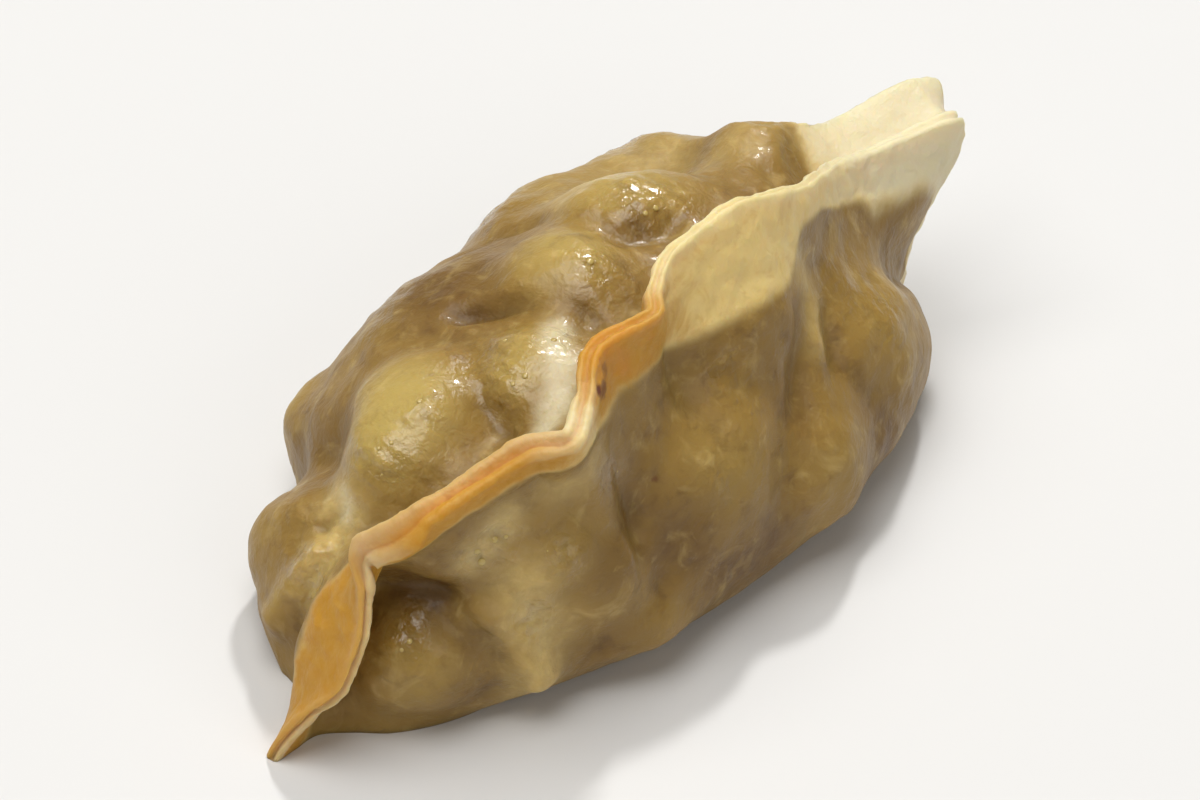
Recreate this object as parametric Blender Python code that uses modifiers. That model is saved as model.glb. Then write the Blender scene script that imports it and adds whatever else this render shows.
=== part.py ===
"""Beef dumpling: a half-moon of steamed dough round a lumpy filling, sealed along a wavy upright frill.

Metres, +Z up. X runs along the seam from the front tip (-X) to the fanned back tip (+X), +Y is the fuller
side, and the dumpling lies on its flat base at Z = 0 with the middle of its box over the origin.
"""
import bmesh
import bpy
import numpy as np

MM = 0.001

# Seam: how far the frill's edge, its middle line and its root reach to the front, to the back and up (mm)
EDGE_REACH = (42.0, 38.0, 30.0)
MIDDLE_REACH = (39.2, 36.0, 26.4)
ROOT_REACH = (36.0, 34.0, 22.6)
SEAM_Y_AT_TIPS = -4.5
SEAM_Y_AT_MIDDLE = -10.0
SEAM_FULLNESS = 0.8

# Half the thickness of the pressed dough at the frill's edge, middle line and root, and the edge's crown (mm)
HALF_THICKNESS = (0.75, 0.95, 1.3)
CROWN_HEIGHT = 0.45
# Where the two layers of dough part or lie close: share along the seam, how many times as thick as that the
# edge and the middle line are
THICKNESS_TIMES = (
    (0.000, 0.80, 0.90),
    (0.150, 0.75, 0.90),
    (0.200, 1.15, 1.10),
    (0.240, 1.55, 1.35),
    (0.320, 1.55, 1.35),
    (0.360, 1.20, 1.15),
    (0.400, 1.10, 1.05),
    (0.480, 0.90, 1.00),
    (0.640, 0.90, 1.00),
    (0.760, 1.10, 1.00),
    (0.860, 0.95, 1.00),
    (1.000, 0.80, 1.00),
)

# Folds of the frill: share of the way along the seam, how far the edge, the middle line and the root swing to
# +Y, how much further the edge reaches out, how far it rises, and the share of its height that is left (mm)
FOLDS = (
    (0.000, -0.5, -0.2, 0.2, -2.0, 0.0, 0.90),
    (0.040, -2.0, -0.6, 1.4, -3.2, 0.0, 0.95),
    (0.080, -3.6, -0.8, 2.6, -3.8, 0.0, 1.00),
    (0.130, -2.6, 0.2, 3.6, -4.0, 0.0, 1.00),
    (0.170, -0.8, 1.0, 3.4, -3.2, 0.0, 0.88),
    (0.200, 0.8, 1.0, 1.6, -1.0, 0.0, 0.75),
    (0.218, -0.6, -0.8, -0.6, -0.2, 0.0, 0.64),
    (0.240, -1.8, -2.0, -2.2, 0.1, 0.0, 0.54),
    (0.280, -2.9, -3.0, -3.1, -0.6, 0.0, 0.46),
    (0.325, -4.4, -3.9, -3.4, -0.3, 0.0, 0.48),
    (0.345, -6.6, -5.4, -4.2, 0.0, 0.0, 0.55),
    (0.370, -4.9, -4.6, -4.2, 0.0, 0.0, 0.62),
    (0.410, -1.7, -2.4, -3.0, 0.3, 0.0, 0.72),
    (0.450, -2.5, -1.8, -1.1, 0.3, 0.0, 0.85),
    (0.465, -0.7, -0.6, -0.4, 0.0, 0.0, 0.92),
    (0.500, 1.4, 0.0, -1.5, 0.3, 0.0, 1.00),
    (0.560, 1.6, -0.2, -2.1, 0.8, 0.0, 1.00),
    (0.600, 1.4, 0.2, -1.3, 0.3, -0.3, 1.00),
    (0.635, 1.6, 1.0, 0.2, 0.0, -0.8, 0.90),
    (0.680, 3.0, 2.2, 1.4, 0.0, -1.6, 0.76),
    (0.730, 4.6, 3.4, 2.4, 0.3, -2.6, 0.66),
    (0.770, 4.4, 3.4, 2.6, 1.5, -3.0, 0.60),
    (0.810, 3.2, 2.8, 2.4, 4.5, -3.2, 0.58),
    (0.850, 1.8, 2.0, 2.2, 7.5, -3.2, 0.60),
    (0.878, 2.0, 2.0, 2.0, 6.0, -2.6, 0.66),
    (0.900, 2.0, 1.8, 1.8, 1.0, -1.0, 0.80),
    (0.920, 1.8, 1.6, 1.6, -2.2, 0.0, 0.92),
    (0.950, 1.5, 1.5, 1.5, -3.2, 0.0, 1.00),
    (1.000, 0.8, 0.8, 0.8, -3.4, 0.0, 1.00),
)
MIDDLE_SHARE_OF_REACH = 0.6
ROOT_SHARE_OF_REACH = 0.25
RISE_FULLNESS = 0.5

# Belly lines from the frill's root to the base (mm): half length to the front and to the back, Y at the front
# tip, at the back tip and at the middle, height at the middle
FULL_SIDE = (
    (33.5, 32.6, -2.5, -2.6, -4.8, 24.4),
    (33.0, 31.8, -1.0, 0.5, 2.2, 23.8),
    (32.6, 31.0, 0.5, 3.0, 8.6, 21.2),
    (32.4, 30.2, 1.5, 4.6, 14.0, 16.6),
    (31.6, 29.0, 2.5, 5.6, 17.5, 10.8),
    (28.8, 26.5, 4.2, 6.4, 18.2, 5.4),
    (23.6, 22.0, 5.6, 6.8, 17.0, 1.5),
    (17.4, 17.5, 6.0, 6.4, 14.0, 0.0),
)
STEEP_SIDE = (
    (33.5, 32.4, -7.5, -5.2, -13.4, 19.4),
    (31.5, 31.2, -9.5, -7.0, -16.0, 15.6),
    (29.0, 29.8, -11.0, -8.8, -18.2, 11.6),
    (26.5, 28.2, -12.0, -10.0, -19.6, 8.0),
    (24.0, 26.0, -12.6, -10.5, -20.0, 5.0),
    (20.5, 22.5, -13.0, -11.0, -19.2, 2.4),
    (17.0, 19.0, -13.2, -11.0, -17.6, 0.6),
    (13.5, 16.0, -12.0, -10.0, -14.6, 0.0),
)
# The full side is fattest a little behind its middle, and both sides are blunter at the back
FULL_SIDE_LEAN = 1.16
FULLNESS_FRONT = 0.80
FULLNESS_BACK = 0.48
BELLY_WIDTH_FULLNESS = 0.9
FOLD_SHARE_IN_BELLY = (0.75, 0.4, 0.15, 0.0, 0.0, 0.0, 0.0, 0.0)
BLUNT_SHARE_IN_BELLY = (0.2, 0.6, 1.0, 1.0, 1.0, 1.0, 1.0, 1.0)

# Filling pushing against the dough (mm): X, Y, Z of each lump, reach along the seam, reach across, height
LUMPS = (
    (-20.5, 1.0, 19.0, 8.6, 8.0, 3.2),
    (-11.0, -5.5, 22.0, 5.6, 6.2, 2.9),
    (-2.0, 0.5, 24.0, 6.0, 6.8, 2.4),
    (8.0, 4.0, 23.5, 7.6, 7.4, 2.3),
    (20.5, 0.0, 21.0, 7.0, 5.0, 0.2),
    (28.5, 5.0, 10.5, 5.6, 5.6, 0.7),
    (-9.5, 12.0, 16.5, 8.0, 8.0, 1.2),
    (10.5, 14.4, 15.0, 7.6, 8.0, 1.7),
    (17.0, 13.2, 14.0, 6.4, 7.6, 1.5),
    (-26.5, 7.4, 7.6, 6.0, 5.6, 1.2),
    (-2.5, 17.4, 6.0, 6.6, 5.4, 1.6),
    (13.0, 16.2, 5.5, 6.6, 5.4, 1.4),
    (-15.0, 15.4, 6.0, 5.8, 5.6, 2.5),
    (-30.5, -11.5, 8.0, 5.6, 6.6, 2.8),
    (-20.0, -14.6, 17.4, 6.4, 6.6, 2.9),
    (-15.5, -17.0, 11.0, 5.6, 5.6, 1.8),
    (-3.0, -16.5, 14.5, 7.2, 7.8, 2.0),
    (9.0, -18.0, 9.0, 6.2, 6.2, 1.9),
    (20.5, -11.5, 14.0, 7.4, 8.2, 1.9),
    (-12.0, -18.5, 6.0, 5.4, 4.8, 1.5),
    (27.0, -9.5, 6.0, 5.4, 5.2, 0.9),
)
LUMP_SHARPNESS = 2.6

# Pleat ribs and creases (mm): points along the line, half width, height (a crease where it is below zero)
PLEATS = (
    (((-27.0, -3.0, 15.5), (-28.8, -0.4, 12.6), (-31.0, 1.4, 8.0), (-31.8, 2.4, 5.0)), 1.6, 1.4),
    (((-28.4, -9.8, 17.2), (-25.8, -12.6, 12.6), (-23.8, -15.4, 8.0), (-22.6, -16.4, 5.0)), 1.8, 1.8),
    (((-11.2, -14.8, 20.4), (-12.6, -17.2, 15.5), (-11.5, -19.2, 9.0)), 1.4, -0.7),
    (((16.0, -9.5, 21.5), (10.5, -13.6, 19.2), (7.0, -17.0, 14.5)), 1.5, -0.9),
    (((-31.5, -7.5, 13.5), (-29.5, -8.6, 14.6), (-27.6, -10.6, 13.4)), 1.8, -1.3),
    (((3.0, -0.6, 25.0), (6.5, -2.2, 25.0)), 1.2, -1.3),
    (((19.5, -3.2, 22.8), (23.0, -2.2, 21.8), (26.0, 0.5, 20.5)), 1.2, -0.7),
    (((13.0, 9.5, 23.5), (18.0, 8.0, 23.0), (21.8, 6.8, 22.0), (24.5, 5.0, 21.5)), 4.4, -3.4),
    (((26.5, 4.0, 18.5), (32.0, 1.5, 17.0)), 2.6, 1.6),
    (((-20.5, 14.5, 5.0), (-23.5, 11.5, 10.0), (-23.0, 7.0, 15.0)), 3.4, -2.4),
)
# Lines over which the relief fades in below the frill, the height over which it fades in above the base, and
# the line where the belly faces straight to its side
RELIEF_LINES = (1.8, 4.0)
RELIEF_HEIGHT = 5.0
BELLY_LINE = 6.5

# The back tip opens like a fish tail: share along the seam, how far the second lip swings along X, Y and Z
# (mm), and the line that it is on
TAIL_LIP = (
    (0.660, 0.0, 0.0, 0.0, 3.4),
    (0.700, 0.2, 1.2, 0.6, 3.1),
    (0.740, 0.9, 4.4, 2.8, 2.6),
    (0.780, 1.0, 5.0, 3.4, 2.0),
    (0.820, 1.0, 4.8, 3.0, 1.5),
    (0.855, 2.6, 3.9, 3.3, 1.0),
    (0.875, 3.4, 2.8, 4.4, 0.8),
    (0.895, 2.4, 1.6, 2.2, 0.5),
    (0.915, 0.2, 0.3, 0.2, 0.3),
    (0.930, 0.0, 0.0, 0.0, 0.2),
)
TAIL_LIP_WIDTH_INSIDE = 0.5
TAIL_LIP_WIDTH_OUTSIDE = 3.0

# Coarse cage: stations along the seam, lines from the frill's edge down to the base, rows across the base
STATIONS = 48
LINES = (0.0, 0.8, 1.6, 2.4, 3.3, 4.3, 5.4, 6.6, 8.0, 10.0)
FINE_STATIONS = 6
FINE_LINES = 6
BASE_ROWS = 4
PROUD_PASSES = 3

DOUGH_COLOUR = (0.56, 0.44, 0.25, 1.0)
DOUGH_ROUGHNESS = 0.3


def clear_scene():
    """Remove every object of the scene."""
    for item in list(bpy.data.objects):
        bpy.data.objects.remove(item, do_unlink=True)


def curve_through(knots, values, at):
    """A curve through the values at the knots that never swings past them."""
    knots = np.asarray(knots, float)
    values = np.asarray(values, float)
    slope = np.diff(values) / np.diff(knots)
    tangent = np.empty_like(values)
    product = slope[:-1] * slope[1:]
    total = slope[:-1] + slope[1:]
    safe = np.where(np.abs(total) > 1e-9, total, 1.0)
    tangent[1:-1] = np.where(product > 0.0, 2.0 * product / safe, 0.0)
    tangent[0] = slope[0]
    tangent[-1] = slope[-1]
    at = np.clip(at, knots[0], knots[-1])
    left = np.clip(np.searchsorted(knots, at) - 1, 0, len(knots) - 2)
    gap = knots[left + 1] - knots[left]
    t = (at - knots[left]) / gap
    rise = (3.0 * t ** 2 - 2.0 * t ** 3) * (values[left + 1] - values[left])
    bend = (t ** 3 - 2.0 * t ** 2 + t) * gap * tangent[left] + (t ** 3 - t ** 2) * gap * tangent[left + 1]
    return values[left] + rise + bend


def column(table, index):
    """One column of a table of rows."""
    return [row[index] for row in table]


def half_moon_x(share, front, back):
    """X along a half-moon with its own half length to the front and to the back."""
    swing = -np.cos(np.pi * share)
    return np.where(swing < 0.0, swing * front, swing * back)


def half_moon_height(share, fullness):
    """Height along a half-moon, one at its middle and nothing at its tips."""
    return np.maximum(np.sin(np.pi * share), 1e-9) ** fullness


def unit(vectors):
    """The vectors with length one."""
    return vectors / (np.linalg.norm(vectors, axis=-1, keepdims=True) + 1e-12)


def frill_lines(share):
    """The frill's edge, middle line and root, as a sheet without thickness."""
    knots = column(FOLDS, 0)
    seam_y = SEAM_Y_AT_TIPS + (SEAM_Y_AT_MIDDLE - SEAM_Y_AT_TIPS) * np.sin(np.pi * share)
    lines = []
    for place, (front, back, top) in enumerate((EDGE_REACH, MIDDLE_REACH, ROOT_REACH)):
        x = half_moon_x(share, front, back)
        y = seam_y + curve_through(knots, column(FOLDS, place + 1), share)
        z = top * half_moon_height(share, SEAM_FULLNESS)
        lines.append(np.stack([x, y, z], axis=-1))
    outward = lines[0] - lines[2]
    outward[:, 1] = 0.0
    further = unit(outward) * curve_through(knots, column(FOLDS, 4), share)[:, None]
    rise = curve_through(knots, column(FOLDS, 5), share) * half_moon_height(share, RISE_FULLNESS)
    further[:, 2] = further[:, 2] + rise
    lines[0] = lines[0] + further
    lines[1] = lines[1] + further * MIDDLE_SHARE_OF_REACH
    lines[2] = lines[2] + further * ROOT_SHARE_OF_REACH
    left = curve_through(knots, column(FOLDS, 6), share)[:, None]
    lines[1] = lines[0] + (lines[1] - lines[0]) * left
    lines[2] = lines[0] + (lines[2] - lines[0]) * left
    return np.stack(lines)


def frill_normals(lines):
    """Which way the frill's sheet faces on its +Y side."""
    facing = unit(np.cross(np.gradient(lines, axis=0), np.gradient(lines, axis=1)))
    return facing if facing[1, :, 1].mean() > 0.0 else -facing


def side_lines(share, side):
    """All lines of one side, from the frill's edge to the rim of the flat base."""
    frill = frill_lines(share)
    facing = frill_normals(frill)
    knots = column(THICKNESS_TIMES, 0)
    times = [curve_through(knots, column(THICKNESS_TIMES, i), share)[:, None] for i in (1, 2)] + [1.0]
    lines = [frill[i] + side * facing[i] * HALF_THICKNESS[i] * times[i] for i in range(3)]
    root_swing = curve_through(column(FOLDS, 0), column(FOLDS, 3), share)
    lean = FULL_SIDE_LEAN if side > 0 else 1.0
    bell = half_moon_height(share ** lean, 1.0)
    table = FULL_SIDE if side > 0 else STEEP_SIDE
    for place, (front, back, y_front, y_back, y_middle, z_middle) in enumerate(table):
        fullness = FULLNESS_FRONT + (FULLNESS_BACK - FULLNESS_FRONT) * share * BLUNT_SHARE_IN_BELLY[place]
        y_tip = y_front + (y_back - y_front) * share
        x = half_moon_x(share, front, back)
        y = y_tip + (y_middle - y_tip) * bell ** BELLY_WIDTH_FULLNESS
        y = y + FOLD_SHARE_IN_BELLY[place] * root_swing
        lines.append(np.stack([x, y, z_middle * bell ** fullness], axis=-1))
    return np.stack(lines)


def surface_through(lines, at):
    """Points of the smooth surface through the lines, at the given places between them."""
    last = len(lines) - 1
    start = np.clip(np.floor(at).astype(int), 0, last - 1)
    t = (at - start)[:, None, None]
    before = lines[np.maximum(start - 1, 0)]
    here = lines[start]
    after = lines[start + 1]
    beyond = lines[np.minimum(start + 2, last)]
    cubic = 3.0 * here - before - 3.0 * after + beyond
    square = 2.0 * before - 5.0 * here + 4.0 * after - beyond
    return here + 0.5 * t * (after - before + t * (square + t * cubic))


def distance_to_line(points, line):
    """Distance from each point to the nearest stretch of a line."""
    nearest = np.full(points.shape[:-1], np.inf)
    for start, end in zip(line[:-1], line[1:]):
        start = np.array(start)
        along = np.array(end) - start
        share = np.clip((points - start) @ along / (along @ along), 0.0, 1.0)
        gap = np.linalg.norm(points - start - share[..., None] * along, axis=-1)
        nearest = np.minimum(nearest, gap)
    return nearest


def relief(points):
    """How far the filling's lumps and the pleats push the dough out."""
    total = np.ones(points.shape[:-1])
    for x, y, z, along, across, height in LUMPS:
        reach = np.array((along, across, across))
        squared = np.sum(((points - np.array((x, y, z))) / reach) ** 2, axis=-1)
        total = total + np.exp(LUMP_SHARPNESS * height * (1.0 - squared))
    push = np.log(total) / LUMP_SHARPNESS
    for line, half_width, height in PLEATS:
        push = push + height * np.exp(-(distance_to_line(points, line) / half_width) ** 2)
    return push


def smooth_step(value):
    """Zero below nothing, one above one, and an even curve between."""
    t = np.clip(value, 0.0, 1.0)
    return t * t * (3.0 - 2.0 * t)


def tail_lip(share, at):
    """Swing of the second lip that opens the back tip like a fish tail."""
    knots = column(TAIL_LIP, 0)
    swing = np.stack([curve_through(knots, column(TAIL_LIP, i), share) for i in (1, 2, 3)], axis=-1)
    offset = at[:, None] - curve_through(knots, column(TAIL_LIP, 4), share)[None, :]
    width = np.where(offset < 0.0, TAIL_LIP_WIDTH_INSIDE, TAIL_LIP_WIDTH_OUTSIDE)
    return np.exp(-(offset / width) ** 2)[..., None] * swing[None, :]


def skin(share, at, side):
    """Points of one side of the dough, line by line from the frill's edge down."""
    points = surface_through(side_lines(share, side), at)
    facing = unit(np.cross(np.gradient(points, axis=0), np.gradient(points, axis=1)))
    belly_line = int(np.argmin(np.abs(at - BELLY_LINE)))
    if facing[belly_line, len(share) // 2, 1] * side < 0.0:
        facing = -facing
    below_frill = smooth_step((at - RELIEF_LINES[0]) / (RELIEF_LINES[1] - RELIEF_LINES[0]))
    above_base = smooth_step(points[..., 2] / RELIEF_HEIGHT)
    push = relief(points) * below_frill[:, None] * above_base
    points = points + facing * push[..., None]
    if side > 0:
        points = points + tail_lip(share, at)
    points[..., 2] = np.maximum(points[..., 2], 0.0)
    return points


def cage_rows():
    """Rows of the cage from the full side's base over the frill to the steep side's base."""
    fine = np.linspace(0.0, 1.0, (STATIONS - 1) * FINE_STATIONS + 1)
    fine_lines = np.linspace(0.0, LINES[-1], int(LINES[-1]) * FINE_LINES + 1)
    rows = {}
    for side in (1, -1):
        surface = skin(fine, fine_lines, side)
        picked = [int(round(line * FINE_LINES)) for line in LINES]
        rows[side] = surface[picked][:, ::FINE_STATIONS]
    frill = frill_lines(fine)
    crown = (rows[1][0] + rows[-1][0]) / 2.0 + CROWN_HEIGHT * unit(frill[0] - frill[1])[::FINE_STATIONS]
    crown[:, 2] = np.maximum(crown[:, 2], 0.0)
    return np.concatenate([rows[1][::-1], crown[None], rows[-1]])


def stand_proud(rows):
    """The rows moved out far enough that the smoothed surface passes through where they were."""
    cage = rows.copy()
    for _ in range(PROUD_PASSES):
        wide = np.pad(cage, ((1, 1), (1, 1), (0, 0)), mode="reflect", reflect_type="odd")
        beside = wide[1:-1, :-2] + wide[1:-1, 2:] + wide[:-2, 1:-1] + wide[2:, 1:-1]
        across = wide[:-2, :-2] + wide[:-2, 2:] + wide[2:, :-2] + wide[2:, 2:]
        smoothed = (36.0 * cage + 6.0 * beside + across) / 64.0
        cage = cage + (rows - smoothed)
    cage[..., 2] = np.maximum(cage[..., 2], 0.0)
    return cage


def close_base(mesh, grid):
    """Fill the flat base between the two sides, and return its rows."""
    middle = len(grid) // 2
    full = [row[0] for row in grid[middle - 1::-1]] + grid[0][1:-1] + [row[-1] for row in grid[:middle]]
    steep = [row[0] for row in grid[middle + 1:]] + grid[-1][1:-1]
    steep = steep + [row[-1] for row in grid[:middle:-1]]
    rows = [full]
    for step in range(1, BASE_ROWS):
        share = step / BASE_ROWS
        row = []
        for first, second in zip(full, steep):
            place = first.co.lerp(second.co, share)
            row.append(mesh.verts.new((place.x, place.y, 0.0)))
        rows.append(row)
    rows.append(steep)
    for upper, lower in zip(rows[:-1], rows[1:]):
        for i in range(len(upper) - 1):
            mesh.faces.new((upper[i], lower[i], lower[i + 1], upper[i + 1]))
    for end, tip in ((0, grid[middle][0]), (-1, grid[middle][-1])):
        half = BASE_ROWS // 2
        rim = [row[end] for row in rows]
        for i in range(half):
            mesh.faces.new((tip, rim[2 * i], rim[2 * i + 1], rim[2 * i + 2]))


def dumpling_mesh():
    """The closed cage of the whole dumpling."""
    rows = stand_proud(cage_rows()) * MM
    mesh = bmesh.new()
    grid = [[mesh.verts.new(point) for point in row] for row in rows]
    for upper, lower in zip(grid[:-1], grid[1:]):
        for i in range(STATIONS - 1):
            mesh.faces.new((upper[i], upper[i + 1], lower[i + 1], lower[i]))
    close_base(mesh, grid)
    bmesh.ops.recalc_face_normals(mesh, faces=mesh.faces)
    data = bpy.data.meshes.new("dumpling")
    mesh.to_mesh(data)
    mesh.free()
    return data


def dough_material():
    """Moist, slightly see-through steamed dough."""
    material = bpy.data.materials.new("steamed_dough")
    material.use_nodes = True
    shader = material.node_tree.nodes["Principled BSDF"]
    shader.inputs["Base Color"].default_value = DOUGH_COLOUR
    shader.inputs["Roughness"].default_value = DOUGH_ROUGHNESS
    shader.inputs["Metallic"].default_value = 0.0
    material.diffuse_color = DOUGH_COLOUR
    return material


def centre_over_origin(dumpling):
    """Shift the mesh so that the middle of the finished box lies over the origin."""
    bpy.context.view_layer.update()
    finished = dumpling.evaluated_get(bpy.context.evaluated_depsgraph_get())
    corners = np.array([tuple(vertex.co) for vertex in finished.data.vertices])
    middle = (corners.min(axis=0) + corners.max(axis=0)) / 2.0
    for vertex in dumpling.data.vertices:
        vertex.co.x -= middle[0]
        vertex.co.y -= middle[1]


def add_dumpling(collection):
    """The dumpling's object: cage, smooth surface and dough."""
    dumpling = bpy.data.objects.new("dumpling", dumpling_mesh())
    collection.objects.link(dumpling)
    dumpling.data.materials.append(dough_material())
    dumpling.data.shade_smooth()
    smooth = dumpling.modifiers.new("soft dough", "SUBSURF")
    smooth.levels = 1
    smooth.render_levels = 1
    centre_over_origin(dumpling)


def main():
    """Build the dumpling in its own collection."""
    clear_scene()
    collection = bpy.data.collections.new("beef_dumpling")
    bpy.context.scene.collection.children.link(collection)
    add_dumpling(collection)


main()
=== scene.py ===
"""Beef dumpling, looks: moist steamed dough drawn over a lumpy filling, with a wavy, golden frill.

Run as a script in Blender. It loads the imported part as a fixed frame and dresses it: the dough's skin, the
beads of moisture on it, then floor, lights and camera. The shape tables are in millimetres along the seam's
own axes, as in the part: X from the front tip to the fanned back tip, +Y to the fuller side, Z up.
"""
import math

import bmesh
import bpy
import numpy as np
from bpy.props import FloatProperty, FloatVectorProperty, IntProperty, PointerProperty
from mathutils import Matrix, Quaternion, Vector


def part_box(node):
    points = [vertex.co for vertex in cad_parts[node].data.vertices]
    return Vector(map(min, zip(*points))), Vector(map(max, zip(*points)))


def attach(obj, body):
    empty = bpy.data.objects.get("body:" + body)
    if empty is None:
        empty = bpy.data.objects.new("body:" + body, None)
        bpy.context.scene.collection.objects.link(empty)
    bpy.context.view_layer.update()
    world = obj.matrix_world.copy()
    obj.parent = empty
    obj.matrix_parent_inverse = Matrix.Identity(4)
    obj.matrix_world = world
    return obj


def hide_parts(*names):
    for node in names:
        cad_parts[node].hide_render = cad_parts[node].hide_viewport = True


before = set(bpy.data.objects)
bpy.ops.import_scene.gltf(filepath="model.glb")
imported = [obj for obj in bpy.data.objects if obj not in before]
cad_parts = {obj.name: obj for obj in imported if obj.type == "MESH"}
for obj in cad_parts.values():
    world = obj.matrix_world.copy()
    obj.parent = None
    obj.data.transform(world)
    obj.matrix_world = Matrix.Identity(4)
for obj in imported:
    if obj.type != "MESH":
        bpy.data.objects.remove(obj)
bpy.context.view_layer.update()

bl_info = {
    "name": "Beef dumpling",
    "version": (1, 0, 0),
    "blender": (4, 5, 0),
    "location": "3D View > Sidebar > Dumpling",
    "description": "Dresses a beef dumpling in steamed dough, and sets its floor, lights and camera",
    "category": "Object",
}

MM = 0.001
NODE = "dumpling"
BODY = "root"

# Seam: how far the frill's edge, its middle line and its root reach to the front, to the back and up (mm)
EDGE_REACH = (42.0, 38.0, 30.0)
MIDDLE_REACH = (39.2, 36.0, 26.4)
ROOT_REACH = (36.0, 34.0, 22.6)
SEAM_Y_AT_TIPS = -4.5
SEAM_Y_AT_MIDDLE = -10.0
SEAM_FULLNESS = 0.8

# Half the thickness of the pressed dough at the frill's edge, middle line and root, and the edge's crown (mm)
HALF_THICKNESS = (0.75, 0.95, 1.3)
CROWN_HEIGHT = 0.45
# Where the two layers of dough part or lie close: share along the seam, how many times as thick as that the
# edge and the middle line are
THICKNESS_TIMES = (
    (0.000, 0.80, 0.90),
    (0.150, 0.75, 0.90),
    (0.200, 1.15, 1.10),
    (0.240, 1.55, 1.35),
    (0.320, 1.55, 1.35),
    (0.360, 1.20, 1.15),
    (0.400, 1.10, 1.05),
    (0.480, 0.90, 1.00),
    (0.640, 0.90, 1.00),
    (0.760, 1.10, 1.00),
    (0.860, 0.95, 1.00),
    (1.000, 0.80, 1.00),
)

# Folds of the frill: share of the way along the seam, how far the edge, the middle line and the root swing to
# +Y, how much further the edge reaches out, how far it rises, and the share of its height that is left (mm)
FOLDS = (
    (0.000, -0.5, -0.2, 0.2, -2.0, 0.0, 0.90),
    (0.040, -2.0, -0.6, 1.4, -3.2, 0.0, 0.95),
    (0.080, -3.6, -0.8, 2.6, -3.8, 0.0, 1.00),
    (0.130, -2.6, 0.2, 3.6, -4.0, 0.0, 1.00),
    (0.170, -0.8, 1.0, 3.4, -3.2, 0.0, 0.88),
    (0.200, 0.8, 1.0, 1.6, -1.0, 0.0, 0.75),
    (0.218, -0.6, -0.8, -0.6, -0.2, 0.0, 0.64),
    (0.240, -1.8, -2.0, -2.2, 0.1, 0.0, 0.54),
    (0.280, -2.9, -3.0, -3.1, -0.6, 0.0, 0.46),
    (0.325, -4.4, -3.9, -3.4, -0.3, 0.0, 0.48),
    (0.345, -6.6, -5.4, -4.2, 0.0, 0.0, 0.55),
    (0.370, -4.9, -4.6, -4.2, 0.0, 0.0, 0.62),
    (0.410, -1.7, -2.4, -3.0, 0.3, 0.0, 0.72),
    (0.450, -2.5, -1.8, -1.1, 0.3, 0.0, 0.85),
    (0.465, -0.7, -0.6, -0.4, 0.0, 0.0, 0.92),
    (0.500, 1.4, 0.0, -1.5, 0.3, 0.0, 1.00),
    (0.560, 1.6, -0.2, -2.1, 0.8, 0.0, 1.00),
    (0.600, 1.4, 0.2, -1.3, 0.3, -0.3, 1.00),
    (0.635, 1.6, 1.0, 0.2, 0.0, -0.8, 0.90),
    (0.680, 3.0, 2.2, 1.4, 0.0, -1.6, 0.76),
    (0.730, 4.6, 3.4, 2.4, 0.3, -2.6, 0.66),
    (0.770, 4.4, 3.4, 2.6, 1.5, -3.0, 0.60),
    (0.810, 3.2, 2.8, 2.4, 4.5, -3.2, 0.58),
    (0.850, 1.8, 2.0, 2.2, 7.5, -3.2, 0.60),
    (0.878, 2.0, 2.0, 2.0, 6.0, -2.6, 0.66),
    (0.900, 2.0, 1.8, 1.8, 1.0, -1.0, 0.80),
    (0.920, 1.8, 1.6, 1.6, -2.2, 0.0, 0.92),
    (0.950, 1.5, 1.5, 1.5, -3.2, 0.0, 1.00),
    (1.000, 0.8, 0.8, 0.8, -3.4, 0.0, 1.00),
)
MIDDLE_SHARE_OF_REACH = 0.6
ROOT_SHARE_OF_REACH = 0.25
RISE_FULLNESS = 0.5

# Belly lines from the frill's root to the base (mm): half length to the front and to the back, Y at the front
# tip, at the back tip and at the middle, height at the middle
FULL_SIDE = (
    (33.5, 32.6, -2.5, -2.6, -4.8, 24.4),
    (33.0, 31.8, -1.0, 0.5, 2.2, 23.8),
    (32.6, 31.0, 0.5, 3.0, 8.6, 21.2),
    (32.4, 30.2, 1.5, 4.6, 14.0, 16.6),
    (31.6, 29.0, 2.5, 5.6, 17.5, 10.8),
    (28.8, 26.5, 4.2, 6.4, 18.2, 5.4),
    (23.6, 22.0, 5.6, 6.8, 17.0, 1.5),
    (17.4, 17.5, 6.0, 6.4, 14.0, 0.0),
)
STEEP_SIDE = (
    (33.5, 32.4, -7.5, -5.2, -13.4, 19.4),
    (31.5, 31.2, -9.5, -7.0, -16.0, 15.6),
    (29.0, 29.8, -11.0, -8.8, -18.2, 11.6),
    (26.5, 28.2, -12.0, -10.0, -19.6, 8.0),
    (24.0, 26.0, -12.6, -10.5, -20.0, 5.0),
    (20.5, 22.5, -13.0, -11.0, -19.2, 2.4),
    (17.0, 19.0, -13.2, -11.0, -17.6, 0.6),
    (13.5, 16.0, -12.0, -10.0, -14.6, 0.0),
)
# The full side is fattest a little behind its middle, and both sides are blunter at the back
FULL_SIDE_LEAN = 1.16
FULLNESS_FRONT = 0.80
FULLNESS_BACK = 0.48
BELLY_WIDTH_FULLNESS = 0.9
FOLD_SHARE_IN_BELLY = (0.75, 0.4, 0.15, 0.0, 0.0, 0.0, 0.0, 0.0)
BLUNT_SHARE_IN_BELLY = (0.2, 0.6, 1.0, 1.0, 1.0, 1.0, 1.0, 1.0)

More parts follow.
